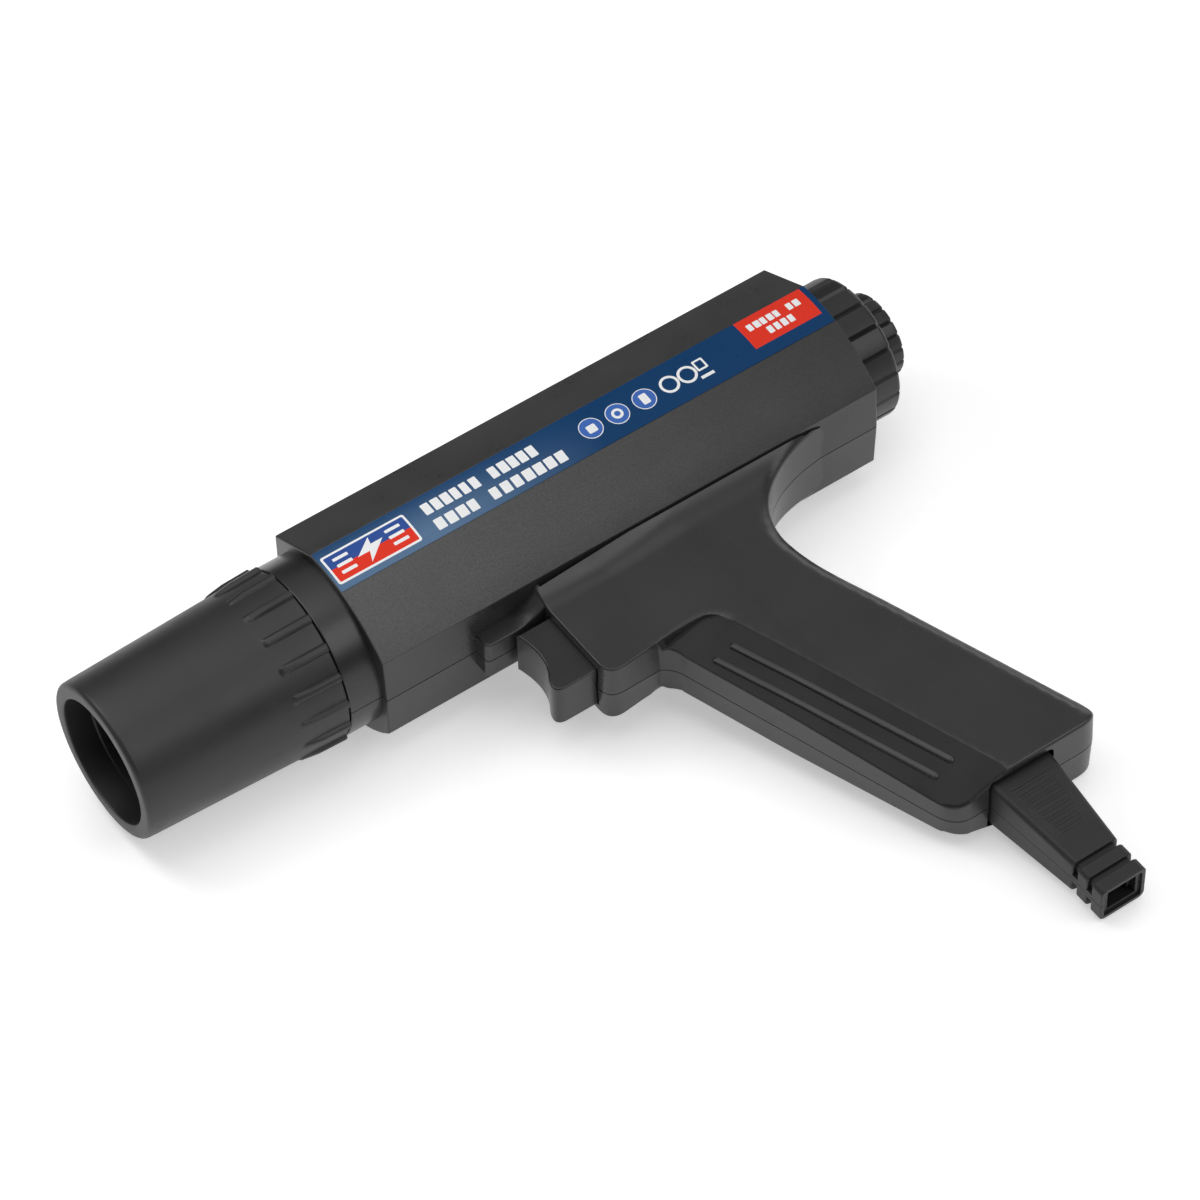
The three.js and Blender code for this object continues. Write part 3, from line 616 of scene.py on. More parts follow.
FINISHES = {
    "case_plastic": CASE, "hood_plastic": HOOD, "knob_plastic": KNOB, "trigger_plastic": TRIGGER,
    "label": NAVY, "lens_glass": GLASS, "tube_glass": TUBE_GLASS, "inner_black": BLACK,
    "mirror_bowl": MIRROR, "steel": STEEL, "heat_sink_metal": ALLOY, "brass": BRASS,
    "board": board(), "plug_plastic": PLUG,
    "capacitor_sleeve": sleeve("capacitor sleeve", srgb(30, 44, 92), 0.35, 90, 0.00001),
    "winding": sleeve("copper winding", srgb(150, 74, 34), 0.35, 700, 0.0002),
    "lead_black": sleeve("black lead", shade(26), 0.5, 160, 0.00001),
    "lead_red": sleeve("red lead", srgb(150, 22, 18), 0.45, 160, 0.00001),
}


def finish_cad_nodes():
    for part in frame["record"]["subparts"]:
        mesh = frame["nodes"][part["node"]].data
        mesh.materials.clear()
        mesh.materials.append(FINISHES[part["material_slot"]])


# ---- barrel ----
def circle_through(a, b, c):
    (ax, ay), (bx, by), (cx, cy) = a, b, c
    d = 2 * (ax * (by - cy) + bx * (cy - ay) + cx * (ay - by))
    sa, sb, sc = ax * ax + ay * ay, bx * bx + by * by, cx * cx + cy * cy
    x = (sa * (by - cy) + sb * (cy - ay) + sc * (ay - by)) / d
    y = (sa * (cx - bx) + sb * (ax - cx) + sc * (bx - ax)) / d
    return x, y, math.hypot(ax - x, ay - y)


SIDE_Y, SIDE_Z, SIDE_R = circle_through(RIDGE, LABEL_EDGE, SKIRT)


def side_z(y, lift=0.0):
    """Height of the barrel's curved side at y, raised by lift."""
    return SIDE_Z + math.sqrt((SIDE_R + lift) ** 2 - (y - SIDE_Y) ** 2)


def barrel_section():
    """[y, z] points of the left half, and whether the edge after each one is the grained side."""
    low = GAP / 2
    across = np.linspace(RIDGE[0], SKIRT[0], 26)[1:-1]
    corners = [(KEEL, low, 0.0), (BARREL_TOP[0], low, 0.0), (*BARREL_TOP, 0.6), (*RIDGE, 0.5)]
    corners += [(y, side_z(y), 0.0) for y in across] + [(*SKIRT, 0.45)]
    section = filleted(corners)
    grained = [abs(p[1] - side_z(p[0])) < 0.02 and abs(q[1] - side_z(q[0])) < 0.02
               if min(p[0], q[0]) > SKIRT[0] - 1 and max(p[0], q[0]) < RIDGE[0] + 1 else False
               for p, q in zip(section, np.roll(section, -1, 0))]
    return section, grained


SLOTS = 4
# The last slot takes the painted shade of the hollows.
SATIN, GRAIN, GRIP, SHADED_INSIDE = range(SLOTS)


def barrel():
    section, grained = barrel_section()
    normals = inward(section)
    flat = section[:, 1] <= GAP / 2 + 1e-6
    normals[flat, 1] = 0
    rings = [(drop, section + normals * inset) for drop, inset in rounding(BARREL_EDGE, range(0, 91, 30))]
    stations = rings + [(BARREL_LENGTH - x, plan) for x, plan in reversed(rings)]
    verts, faces = lofted([[(x, y, z) for y, z in plan] for x, plan in stations])
    count = len(section)
    marks = [GRAIN if grained[k % count] else SATIN for k in range(count * (len(stations) - 1))] + [0, 0]
    return mesh_object("barrel", verts, faces, SLOTS, marks)


def collar():
    r, edge = COLLAR_RADIUS, 0.5
    profile = [(SPIGOT_FRONT, SPIGOT_BORE), (SPIGOT_FRONT, SPIGOT_RADIUS - 0.4), (SPIGOT_FRONT + 0.4, SPIGOT_RADIUS),
               (COLLAR_FRONT, SPIGOT_RADIUS), (COLLAR_FRONT, r - edge), (COLLAR_FRONT + 0.15, r - 0.15),
               (COLLAR_FRONT + edge, r), (3.5, r), (3.5, SPIGOT_BORE)]
    return revolved(profile, even_angles(144), slots=SLOTS)


# ---- handle ----
def strap_x(y):
    return 68.4 + 0.326 * (-67.5 - y)


def back_x(y):
    return 128.7 + 0.341 * (-102.6 - y)


NECK = bezier([(back_x(-84), -84), (118.3, -72.3), (114.2, -64), (113.4, -53)], 16)
NECK += bezier([(113.4, -53), (112.6, -43), (117.5, -27.9), (149, -27)], 28)
BACK_CURVE = np.array([(back_x(-170), -170), (back_x(-84), -84)] + [tuple(p) for p in NECK])


def handle_outline():
    end = HANDLE_END
    points = [(47.2, -22), (47.2, -56.4)]
    points += bezier([(47.2, -56.4), (47.2, -61.5), (52.4, -61.5)], 8)
    points += [(63.9, -61.4)]
    points += bezier([(63.9, -61.4), (66.9, -62.9), (strap_x(-66.5), -66.5)], 8)
    points += [(strap_x(-142), -142)]
    points += bezier([(strap_x(-142), -142), (strap_x(end), end), (100.5, end)], 12)
    points += [(135.5, end)]
    points += bezier([(135.5, end), (back_x(end), end), (back_x(-140.5), -140.5)], 10)
    points += [(back_x(-84), -84)] + NECK + [(149, -22)]
    return spaced(points, 1.1)


# The grip panel slopes away from a crease that runs down the handle.
CREASE_TOP, CREASE_END = np.array((84.5, -66.6)), np.array((111.4, -146.0))
CREASE = (CREASE_END - CREASE_TOP) / np.linalg.norm(CREASE_END - CREASE_TOP)
CREASE_OUT = np.array((CREASE[1], -CREASE[0]))
CREASE_LINE = [CREASE_TOP + (CREASE_END - CREASE_TOP) * k / 60 for k in range(1, 66)]
# The steep wall between the block and the panel: the line along its top and the panel's own upper edge.
WALL_TOP = [np.array(p) for p in ((62.0, -60.1), (63.6, -59.85), (66.3, -59.5), (69.5, -59.4), (73.5, -59.45),
                                  (77.0, -59.6))]
WALL_TOP += bezier([(77.0, -59.6), (82.6, -60.2), (84.5, -66.6)], 12)
PANEL_EDGE = [np.array(p) for p in ((64.6, -62.3), (65.4, -62.0), (67.6, -61.75), (70.0, -61.4), (74.3, -60.95),
                                    (77.6, -60.7))]
PANEL_EDGE += bezier([(77.6, -60.7), (82.4, -61.0), (84.3, -66.6)], 12)
BEVEL, BEVEL_SLOPE = 0.4, 0.6
WALL_SLOPE, VALLEY_SLOPE, PANEL_ROUNDING, PANEL_EDGE_DROP = 3.0, 0.7, 0.5, 0.18
PANEL_SIDE = [np.array((115.0, -160.0)), np.array((60.0, -160.0)), np.array((50.0, -75.0))]
PANEL_REGION = PANEL_EDGE + CREASE_LINE + PANEL_SIDE
LOWERED = WALL_TOP + CREASE_LINE + PANEL_SIDE + [np.array((50.0, -62.5)), np.array((62.0, -62.5))]


def plateau(x):
    """The block beside the trigger is flat; the grip rises gently behind the line x = 68."""
    return BLOCK_TOP + (GRIP_TOP - BLOCK_TOP) * ramp(68, 92, x)


def panel(x, y):
    p = np.array((x, y)) - CREASE_TOP
    down, out = p @ CREASE, max(0.0, p @ CREASE_OUT)
    slope = np.interp(down, [-10.1, -5.9, 30, 78], [0.15, 0.215, 0.247, 0.365])
    return plateau((CREASE_TOP + CREASE * max(0.0, down))[0]) - slope * out


def crest_line(x):
    """Where the sweep up to the barrel ends, as y and z."""
    t = ramp(47.2, 78, x)
    return -28.2 + 0.9 * t, 12.9 + 1.1 * t


def sweep(x, y, ground):
    crest_y, crest_z = crest_line(x)
    if y > crest_y + 0.2:
        return 11.0
    return ground + (crest_z - ground) * ramp(-35.2, crest_y, y) ** 2


def back_drop(x, y):
    """How far the broad rounding along the back strap lowers the top at (x, y)."""
    radius = BACK_ROUNDING * (1 - 0.5 * smooth(-52, -30, y))
    near = radius - min(radius, distance_to(BACK_CURVE, (x, y), closed=False))
    return radius - math.sqrt(radius * radius - near * near)


def panel_top(x, y):
    """The panel with its rounded upper edge, and the narrow valley between that edge and the block's wall."""
    away = distance_to(PANEL_EDGE, (x, y), closed=False)
    if inside(PANEL_REGION, (x, y)):
        return panel(x, y) - PANEL_EDGE_DROP * (1 - min(1.0, away / PANEL_ROUNDING)) ** 2
    return panel(x, y) - PANEL_EDGE_DROP - VALLEY_SLOPE * away


def valley_line():
    """Where the wall's foot meets the valley's side."""
    line = []
    for t in np.linspace(0.12, 0.96, 40):
        top, edge = along(WALL_TOP[1:], t), along(PANEL_EDGE, t)
        width = np.linalg.norm(edge - top)
        deep = (plateau(top[0]) - panel(*edge) + PANEL_EDGE_DROP + VALLEY_SLOPE * width) / (WALL_SLOPE + VALLEY_SLOPE)
        if 0 < deep < width:
            line.append(top + (edge - top) * deep / width)
    return line


def handle_top(x, y):
    ground = plateau(x)
    if y > -36:
        return sweep(x, y, ground) - back_drop(x, y)
    if x > 108:
        return ground - back_drop(x, y) if not inside(PANEL_REGION, (x, y)) else min(ground, panel(x, y))
    if not inside(LOWERED, (x, y)):
        away = distance_to(WALL_TOP, (x, y), closed=False) if x > 62 and y > -66 else BEVEL
        return ground - BEVEL_SLOPE * max(0.0, BEVEL - away)
    if y < -68:
        return min(ground, panel(x, y))
    wall = ground - BEVEL_SLOPE * BEVEL - WALL_SLOPE * distance_to(WALL_TOP, (x, y), closed=False)
    return min(ground, max(wall, panel_top(x, y)))


def handle_edge(x, y):
    """Radius of the handle's upper edge, apart from the back strap's broad rounding."""
    if y < HANDLE_END + 4:
        return 1.1
    if x > 112:
        return 1.1 * (1 - 0.7 * smooth(-50, -30, y))
    if y < -66:
        return 0.45
    return 0.4 if y > -26 else 0.6


def handle_draft(x, y):
    """How far the handle's walls lean inwards by their top."""
    if 50 < x < 64.2 and y < -60:
        return 0.3 + 0.8 * smooth(50, 62, x)
    return 0.12 if y < -66 and x < 100 else 0.3


def handle():
    block_crease = [(68, y) for y in np.arange(-58.4, -36, 1.2)]
    crest = [(x, crest_line(x)[0]) for x in np.arange(48.5, 142, 1.2)]
    groove = [(x, y + 0.3) for x, y in crest]
    inner = [p + (0.1, -PANEL_ROUNDING) for p in PANEL_EDGE[1:-4]]
    bevel = [p + (0.0, BEVEL) for p in WALL_TOP[1:-4]]
    lines = [block_crease, crest, groove, bevel, WALL_TOP[1:], PANEL_EDGE[1:-1], inner, valley_line(),
             [WALL_TOP[-1]] + CREASE_LINE]
    return heightfield(handle_outline(), handle_top, handle_edge, GAP / 2, handle_draft, lines=lines, spacing=1.5,
                       mark_at=lambda x, y: GRIP if inside(PANEL_REGION, (x, y)) else SATIN, finer=-37)


def finger_stop():
    outline = spaced(filleted([(28.5, -22, 1.2), (28.5, -32.5, 1.8), (49.5, -32.5, 1.2), (49.5, -22, 1.2)], 6), 0.6)

    def top(x, y):
        full = sweep(48.2, min(y, -28.25), plateau(48.2))
        return 6.3 + (full - 6.3) * ramp(38.5, 48.2, x) ** 1.8

    return heightfield(outline, top, lambda x, y: 0.5, GAP / 2, lambda x, y: 0.15, spacing=0.8)


def grip_rib(start, end):
    """A raised rib on the grip panel, with round ends."""
    start, end = np.array(start), np.array(end)
    ahead = (end - start) / np.linalg.norm(end - start)
    across = np.array((ahead[1], -ahead[0]))
    length, half = np.linalg.norm(end - start), 0.85
    section = [(-1, -1.5), (-1, 0.42), (-0.84, 0.6), (-0.5, 0.7), (0.5, 0.7), (0.84, 0.6), (1, 0.42), (1, -1.5)]
    ends = [0.0, 0.1, 0.3, 0.6, 0.9]
    stations = ends + list(np.linspace(1.4, length - 1.4, 60)) + [length - e for e in reversed(ends)]
    rings = []
    for s in stations:
        near = min(s, length - s)
        narrow = math.sqrt(max(0.05, 1 - (1 - min(1, near / half)) ** 2))
        tall = 0.55 + 0.45 * smooth(0, 0.7, near)
        ring = []
        for a, h in section:
            p = start + ahead * s + across * a * half * narrow
            ring.append((p[0], p[1], panel(*p) + (h * tall if h > 0 else h)))
        rings.append(ring)
    return loft("rib", rings, SLOTS)


# ---- case shells ----
def barrel_cavity():
    section, _ = barrel_section()
    plan = section + inward(section) * WALL
    flat = section[:, 1] <= GAP / 2 + 1e-6
    plan[flat, 1] = -1
    plan = [p for p, s in zip(plan, section) if s[1] <= 1 or distance_to(section, p) > WALL * 0.98]
    return loft("cavity", [[(x, y, z) for y, z in plan] for x in (WALL, BARREL_LENGTH - WALL)], SLOTS, SHADED_INSIDE)


def handle_cavity():
    outline = handle_outline()
    moved = outline + inward(outline) * WALL
    keep = [p for p in moved if distance_to(outline, p) > WALL * 0.97 and p[0] < 136]
    outline = spaced(keep, 3.0)

    def top(x, y):
        return min(handle_top(x, min(y, -36)), plateau(x)) - WALL

    cavity = heightfield(outline, top, lambda x, y: 0.3, -1.0, lambda x, y: 0.0, spacing=4.0)
    cavity.data.polygons.foreach_set("material_index", [SHADED_INSIDE] * len(cavity.data.polygons))
    return cavity


def recess():
    """The opening round the plug in the end of the handle."""
    half_x, half_z = PLUG_BASE[0] + 0.6, PLUG_BASE[1] + 1.5
    # Its walls take the painted shade of the hollows.
    return loft("recess", drawn(rounded_box(-half_x, half_x, -half_z, half_z, 2, 5), (-150, -141)), SLOTS, SHADED_INSIDE)


def shell_half():
    """The left half of the case, hollow, without its screw features."""
    shell = barrel()
    ribs = [grip_rib((73.5, -72.0), (97.2, -137.4)), grip_rib((79.3, -71.6), (102.7, -136.7))]
    boolean(shell, [collar(), handle(), finger_stop()] + ribs, "UNION")
    half = TRIGGER_HALF + GAP
    bushing = revolved([(150, 0), (150, 4.7), (170, 4.7), (170, 0)], even_angles(32), slots=SLOTS, mark=SHADED_INSIDE)
    bore = revolved([(-30, 0), (-30, SPIGOT_BORE), (4, SPIGOT_BORE), (4, 0)], even_angles(96), slots=SLOTS, mark=SHADED_INSIDE)
    cuts = [barrel_cavity(), handle_cavity(), bore, recess(), bushing,
            box(46, 55, -56.6, -33.9, -half, half, SLOTS, SHADED_INSIDE), box(-90, 190, -200, 60, -60, GAP / 2, SLOTS)]
    return boolean(shell, cuts)


def mirrored(o):
    twin = linked(o.name, o.data.copy())
    twin.data.transform(Matrix.Scale(-1, 4, (0, 0, 1)))
    twin.data.flip_normals()
    return twin


def case_shells():
    left = shell_half()
    right = mirrored(left)
    finishes = [CASE, CASE_GRAIN, CASE_PANEL, CASE_SHADED_INSIDE]

    def rods(radius, z0, z1, sides=40, mark=SHADED_INSIDE):
        return [rod(radius, x, y, z0, z1, sides, SLOTS, mark) for x, y in SCREW_PLACES]

    boolean(left, rods(SCREW_BOSS, GAP / 2, 8), "UNION")
    boolean(left, rods(SCREW_PILOT, -1, 7, 24))
    boolean(right, rods(HEAD_BOSS, -9, -GAP / 2), "UNION")
    boolean(right, rods(SCREW_PILOT, -9.5, 1, 24))
    boolean(right, rods(HEAD_BORE, -40, SCREW_SEAT, mark=SATIN))
    placed(left, "case_shell_left", "case", finishes, ["left_shell"])
    placed(right, "case_shell_right", "case", finishes, ["right_shell"])


def case_screws():
    """Pan-head screws with cross recesses and rolled threads, driven in from the right."""
    for i, (x, y) in enumerate(SCREW_PLACES):
        top = SCREW_SEAT - GAP
        profile = [(top - 2.0, 0.0), (top - 1.95, 1.2), (top - 1.6, 2.2), (top - 1.0, 2.7), (top, 2.8), (top, 1.25)]
        pitch, tip = 0.55, 6.4
        for k in range(int((tip - 1 - top) / pitch)):
            z = top + 0.6 + k * pitch
            profile += [(z, 1.0), (z + pitch * 0.45, 1.32), (z + pitch * 0.9, 1.0)]
        profile += [(tip, 0.7), (tip + 0.6, 0.0)]
        screw = revolved(profile, even_angles(28), name="screw")
        screw.data.transform(Matrix(((0, 1, 0, x), (0, 0, 1, y), (1, 0, 0, 0), (0, 0, 0, 1))))
        arms = [box(-1.7, 1.7, -0.35, 0.35, top - 3, top - 1.0), box(-0.35, 0.35, -1.7, 1.7, top - 3, top - 0.99)]
        for arm in arms:
            arm.data.transform(Matrix.Rotation(0.5 + 0.9 * i, 4, "Z"))
            arm.data.transform(Matrix.Translation((x, y, 0)))
        boolean(screw, arms)
        placed(screw, f"screw_{i + 1}", "case", [STEEL], [f"case_screw_{i + 1}"], weighted=False)


# ---- label ----
LABEL_LIFT = 0.16
PALE, SCARLET, MID_BLUE, DISC_BLUE = 1, 2, 3, 4


def word_blocks(x0, x1, y0, y1, letters):
    """Plain blocks that stand in for a line of print."""
    rng = random.Random(len(letters))
    pitch = (x1 - x0) / len(letters)
    made = []
    for k, letter in enumerate(letters):
        if letter == " ":
            continue
        width = pitch * (0.7 + 0.16 * rng.random())
        left = x0 + pitch * k
        made.append((rounded_box(left, left + width, y0, y1, 0.25), PALE))
    return made


def label_art():
    """Outlines on the label with their print colours: badge, lines of print, round and square marks, end panel."""
    lower = [(1.75, -5.15), (2.05, -5.45), (26.45, -5.45), (26.75, -5.15), (26.75, -1.15), (1.75, -1.15)]
    bolt = [(15.6, 2.6), (9.9, -1.5), (13.6, -1.5), (12.3, -4.7), (18.8, 0.3), (15.0, 0.3)]
    art = [(rounded_box(1.1, 27.4, -6.1, 3.8, 0.7), PALE), (rounded_box(1.75, 26.75, -5.45, 3.15, 0.4), MID_BLUE),
           (lower, SCARLET), (bolt, PALE)]
    art += [(rounded_box(x, x + 4.7, y, y + 1.0, 0.25), PALE) for x in (3.7, 20.1) for y in (-3.8, -1.5, 0.8)]
    art += word_blocks(32.5, 69.3, -0.5, 3.4, "xxxxxx xxxxx")
    art += word_blocks(32.7, 75.2, -6.1, -2.6, "xxxx xxxxxxx")
    y = -1.1
    for x in (85.1, 93.8, 102.7):
        art += [(disc(x, y, 3.45), PALE), (disc(x, y, 3.2), DISC_BLUE)]
    art += [(rounded_box(83.8, 86.6, y - 1.6, y + 1.0, 0.4), PALE), (disc(93.8, y, 1.7, 18), PALE),
            (disc(93.8, y, 0.9, 14), DISC_BLUE), (rounded_box(101.6, 103.9, y - 1.8, y + 1.7, 0.4), PALE)]
    for x in (111.2, 117.1):
        art += [(disc(x, -0.9, 2.9), PALE), (disc(x, -0.9, 2.1), 0)]
    art += [(rounded_box(120.2, 123.6, -1.9, 1.9, 0.4), PALE), (rounded_box(120.8, 123.0, -1.3, 1.3, 0.2), 0),
            (rounded_box(119.7, 123.9, -4.45, -3.5, 0.15), PALE)]
    art.append((rounded_box(137.7, 160.0, -4.3, 6.35, 0.1), SCARLET))
    art += word_blocks(139.9, 157.6, 1.35, 3.8, "xxxxx xx")
    art += word_blocks(144.2, 153.4, -2.3, 0.2, "xxxx")
    return art


def label():
    x0, x1, y0, y1 = GAP, BARREL_LENGTH - GAP, LABEL_EDGE[0], RIDGE[0] - 0.3
    shapes = [([(x0, y0), (x1, y0), (x1, y1), (x0, y1)], 0)] + label_art()
    points, polygons, edges = [], [], []
    for outline, _ in shapes:
        polygons.append(list(range(len(points), len(points) + len(outline))))
        points += [Vector(p) for p in outline]
    for y in np.arange(y0 + 1.1, y1 - 0.5, 1.15):
        edges.append((len(points), len(points) + 1))
        points += [Vector((x0, y)), Vector((x1, y))]
    flat, _, faces, _, _, sources = delaunay_2d_cdt(points, edges, polygons, 1, 1e-5)
    count = len(flat)
    verts = [(p.x, p.y, side_z(p.y, lift)) for lift in (LABEL_LIFT, -0.05) for p in flat]
    marks = [shapes[max(s)][1] for s in sources]
    used, made = {}, []
    for f in faces:
        made.append(tuple(f))
        for a, b in zip(f, list(f[1:]) + [f[0]]):
            used[(a, b)] = True
    rim = [(a, b) for a, b in used if (b, a) not in used]
    made += [tuple(i + count for i in reversed(f)) for f in faces]
    made += [(a, a + count, b + count, b) for a, b in rim]
    marks += [0] * (len(faces) + len(rim))
    o = mesh_object("label", verts, made, 5, marks)
    placed(o, "label_film", "case", [NAVY, WHITE, RED, BLUE, DISC], ["label_plate"])


# ---- lens hood ----
def hood_angles():
    local = [-10, -7.2, -5, -3.8, -3.2, -2.7, -2.1, -1.4, -0.7, 0, 0.7, 1.4, 2.1, 2.7, 3.2, 3.8, 5, 7.2]
    return [math.radians(20 * k + 10 + d) for k in range(RIB_COUNT) for d in local]


def hood():
    def cone(x):
        return HOOD_FRONT_RADIUS + (HOOD_REAR_RADIUS - HOOD_FRONT_RADIUS) * (x - HOOD_FRONT) / (HOOD_REAR - HOOD_FRONT)

    front, lip = HOOD_FRONT, 1.5
    outer = [(front + drop, cone(front) - inset) for drop, inset in rounding(lip, range(0, 91, 18))]
    rib_front = HOOD_REAR - RIB_LENGTH
    outer += [(x, cone(x)) for x in np.arange(front + 4, rib_front - 2, 3.0)]
    outer += [(x, cone(x)) for x in np.arange(rib_front - 0.6, rib_front + 3.2, 0.32)]
    outer += [(x, cone(x)) for x in np.arange(rib_front + 4.5, HOOD_REAR - 0.8, 1.6)]
    outer += [(HOOD_REAR - 0.25, cone(HOOD_REAR)), (HOOD_REAR, cone(HOOD_REAR) - 0.2)]
    ring_in, inner = 0.7, HOOD_BORE
    inside_points = [
        (HOOD_REAR, SPIGOT_RADIUS + GAP), (SPIGOT_FRONT - GAP, SPIGOT_RADIUS + GAP),
        (SPIGOT_FRONT - GAP, LENS_RADIUS + GAP), (LENS_SEAT, LENS_RADIUS + GAP), (LENS_SEAT, inner - 0.6),
        (front + 8, inner - 0.6), (front + 7.9, inner - 0.5), (front + 7.6, inner),
        (front + ring_in, inner), (front + ring_in * 0.3, inner + ring_in * 0.3), (front, inner + ring_in)]
    profile = outer + inside_points
    ribbed = len(outer)

    def shift(i, x, r, angle):
        if i >= ribbed or x < rib_front:
            return r
        off = math.degrees(angle) % 20 - 10
        away = abs(math.radians(off)) * r
        nose = ramp(0, 1.0, x - rib_front)
        half = RIB_WIDTH / 2 * math.sqrt(max(0, 1 - (1 - nose) ** 2))
        if half <= 0.05 or away >= half:
            return r
        edge = ramp(half, half - 0.75, away)
        taper = (0.35 + 0.65 * ramp(0, 6, x - rib_front)) * math.sin(ramp(0, 1.2, x - rib_front) * math.pi / 2)
        return r + RIB_HEIGHT * math.sin(edge * math.pi / 2) * taper

    o = revolved(profile, hood_angles(), shift)
    placed(o, "hood_shell", "hood", [HOOD], ["lens_hood"], sharp=38)


def lens_parts():
    rear = SPIGOT_FRONT - GAP
    crown = [(rear - 2 - 2.4 * (1 - (r / LENS_RADIUS) ** 2), r) for r in np.linspace(LENS_RADIUS, 0, 16)]
    profile = [(rear, 0.0), (rear, LENS_RADIUS - 0.3), (rear - 0.3, LENS_RADIUS)] + crown
    lens = revolved(profile, even_angles(96))
    placed(lens, "condenser_lens", "hood", [GLASS], ["lens"], weighted=False)
    seat, back = LENS_SEAT + GAP, rear - 2 - GAP
    profile = [(seat, LENS_RADIUS), (seat, 19.0), (seat + 0.3, 18.6), (back - 1, 18.6), (back, 19.4),
               (back, LENS_RADIUS)]
    ring = revolved(profile, even_angles(96))
    placed(ring, "lens_ring", "hood", [BLACK], ["lens_retaining_ring"])


# ---- advance knob ----
def knob_angles():
    local = [-10, -7, -4.6, -3.3, -2.6, -2.15, -1.7, -1.1, -0.5, 0, 0.5, 1.1, 1.7, 2.15, 2.6, 3.3, 4.6, 7]
    return [math.radians(20 * k + d) for k in range(KNOB_FLUTES) for d in local]


def fluted(r, angle, half, depth):
    away = abs(math.radians((math.degrees(angle) + 10) % 20 - 10)) * r
    if away >= half:
        return r
    t = 1 - away / half
    return r - depth * (t if t < 0.8 else 0.8 + (t - 0.8) * 0.5)


def lobed(name, outer, rest, half, depth, replaced):
    """A knob piece turned from two profiles, with flutes cut in the outer one."""
    o = revolved(outer + rest, knob_angles(), lambda i, x, r, a: fluted(r, a, half, depth) if i < len(outer) else r)
    placed(o, name, "knob", [KNOB], [replaced], sharp=34)


def knob():
    front, r, step, fillet = KNOB_FRONT, KNOB_RADIUS, KNOB_STEP, 1.5
    outer = [(front, r - 0.5), (front + 0.15, r - 0.15), (front + 0.5, r)]
    outer += [(x, r) for x in np.linspace(front + 2, step - fillet, 5)]
    outer += [(step - inset, r - drop) for drop, inset in rounding(fillet, range(18, 91, 18))]
    rest = [(step, r - 2.4), (step - 0.1, CAP_RADIUS + 1.0), (step - 0.1, 4.0), (step - 6.0, 3.9), (front + 3.0, 9.0),
            (front + 3.0, r - 3.2), (front, r - 3.0)]
    lobed("knob_ring", outer, rest, 0.8, 1.0, "advance_knob")

    r, rear, fillet = CAP_RADIUS, KNOB_REAR, 1.0
    outer = [(step + 0.2, r), (step + 2, r), (rear - 2.2, r)]
    outer += [(rear - inset, r - drop) for drop, inset in rounding(fillet, (0, 22, 45, 67, 90))]
    rest = [(rear, r - 2.0), (rear - 0.5, r - 2.5), (rear - 0.5, 0.0), (step + 0.2, 0.0)]
    lobed("knob_end_cap", outer, rest, 0.7, 0.8, "knob_cap")


# ---- trigger ----
def trigger():
    points = [(37.0, -34.2)]
    points += bezier([(37.0, -34.2), (38.4, -39), (39.0, -44.5), (36.6, -49.3)], 12)
    points += bezier([(36.6, -49.3), (33.6, -53.6), (34.0, -56.1), (37.8, -56.1)], 12)
    points += [(TRIGGER_REAR, -56.1), (TRIGGER_REAR, -34.2)]
    outline = spaced(points, 0.7)
    normals = inward(outline)
    edge = rounding(TRIGGER_EDGE, (0, 22, 45, 67, 90))
    rings = [[(x, y, side * (TRIGGER_HALF - drop)) for x, y in outline + normals * inset]
             for side, turn in ((-1, edge), (1, edge[::-1])) for drop, inset in turn]
    verts, faces = lofted(rings, capped=False)
    plan = [Vector(p[:2]) for p in rings[-1]]
    flat, _, triangles, _, _, _ = delaunay_2d_cdt(plan, [], [list(range(len(plan)))], 1, 1e-6)
    for z in (-TRIGGER_HALF, TRIGGER_HALF):
        start = len(verts)
        verts += [(p.x, p.y, z) for p in flat]
        faces += [tuple(start + i for i in f) for f in triangles]
    o = mesh_object("trigger", verts, faces)
    placed(o, "trigger_blade", "trigger", [TRIGGER], ["trigger"], sharp=40)


# ---- cord plug ----
def arch(half, low, high, radius, steps=3):
    """A section with two square corners below and two round ones above."""
    return filleted([(-half, low, 0), (half, low, 0), (half, high, radius), (-half, high, radius)], steps)


def drawn(section, stations):
    """Rings of an [x, z] section at stations down the plug."""
    return [[(PLUG_X + a, y, b) for a, b in section] for y in stations]


def plug_half_size(y):
    t = ramp(-148.5, -178.7, y)
    return [b + (n - b) * t for b, n in zip(PLUG_BASE, PLUG_NECK)]


def plug_section(y, shrink=0.0):
    hx, hz = (h - shrink for h in plug_half_size(y))
    return arch(hx, GAP / 4, hz, 1.7, 5)


def plug_length(y0, y1, edge=0.45):
    """A stretch of the plug's upper half from y0 down to y1, with rounded end edges."""
    stations = [(y0 - edge * (1 - math.cos(a)), edge * (1 - math.sin(a))) for a in (0, 0.52, 1.05, 1.5708)]
    stations += [(y, 0.0) for y in np.linspace(y0, y1, 14)[1:-1] if y0 - y > edge and y - y1 > edge]
    stations += [(y1 + edge * (1 - math.cos(a)), edge * (1 - math.sin(a))) for a in (1.5708, 1.05, 0.52, 0)]
    rings = [[(PLUG_X + a, y, max(b, GAP / 4)) for a, b in plug_section(y, shrink)] for y, shrink in stations]
    return loft("plug", rings)


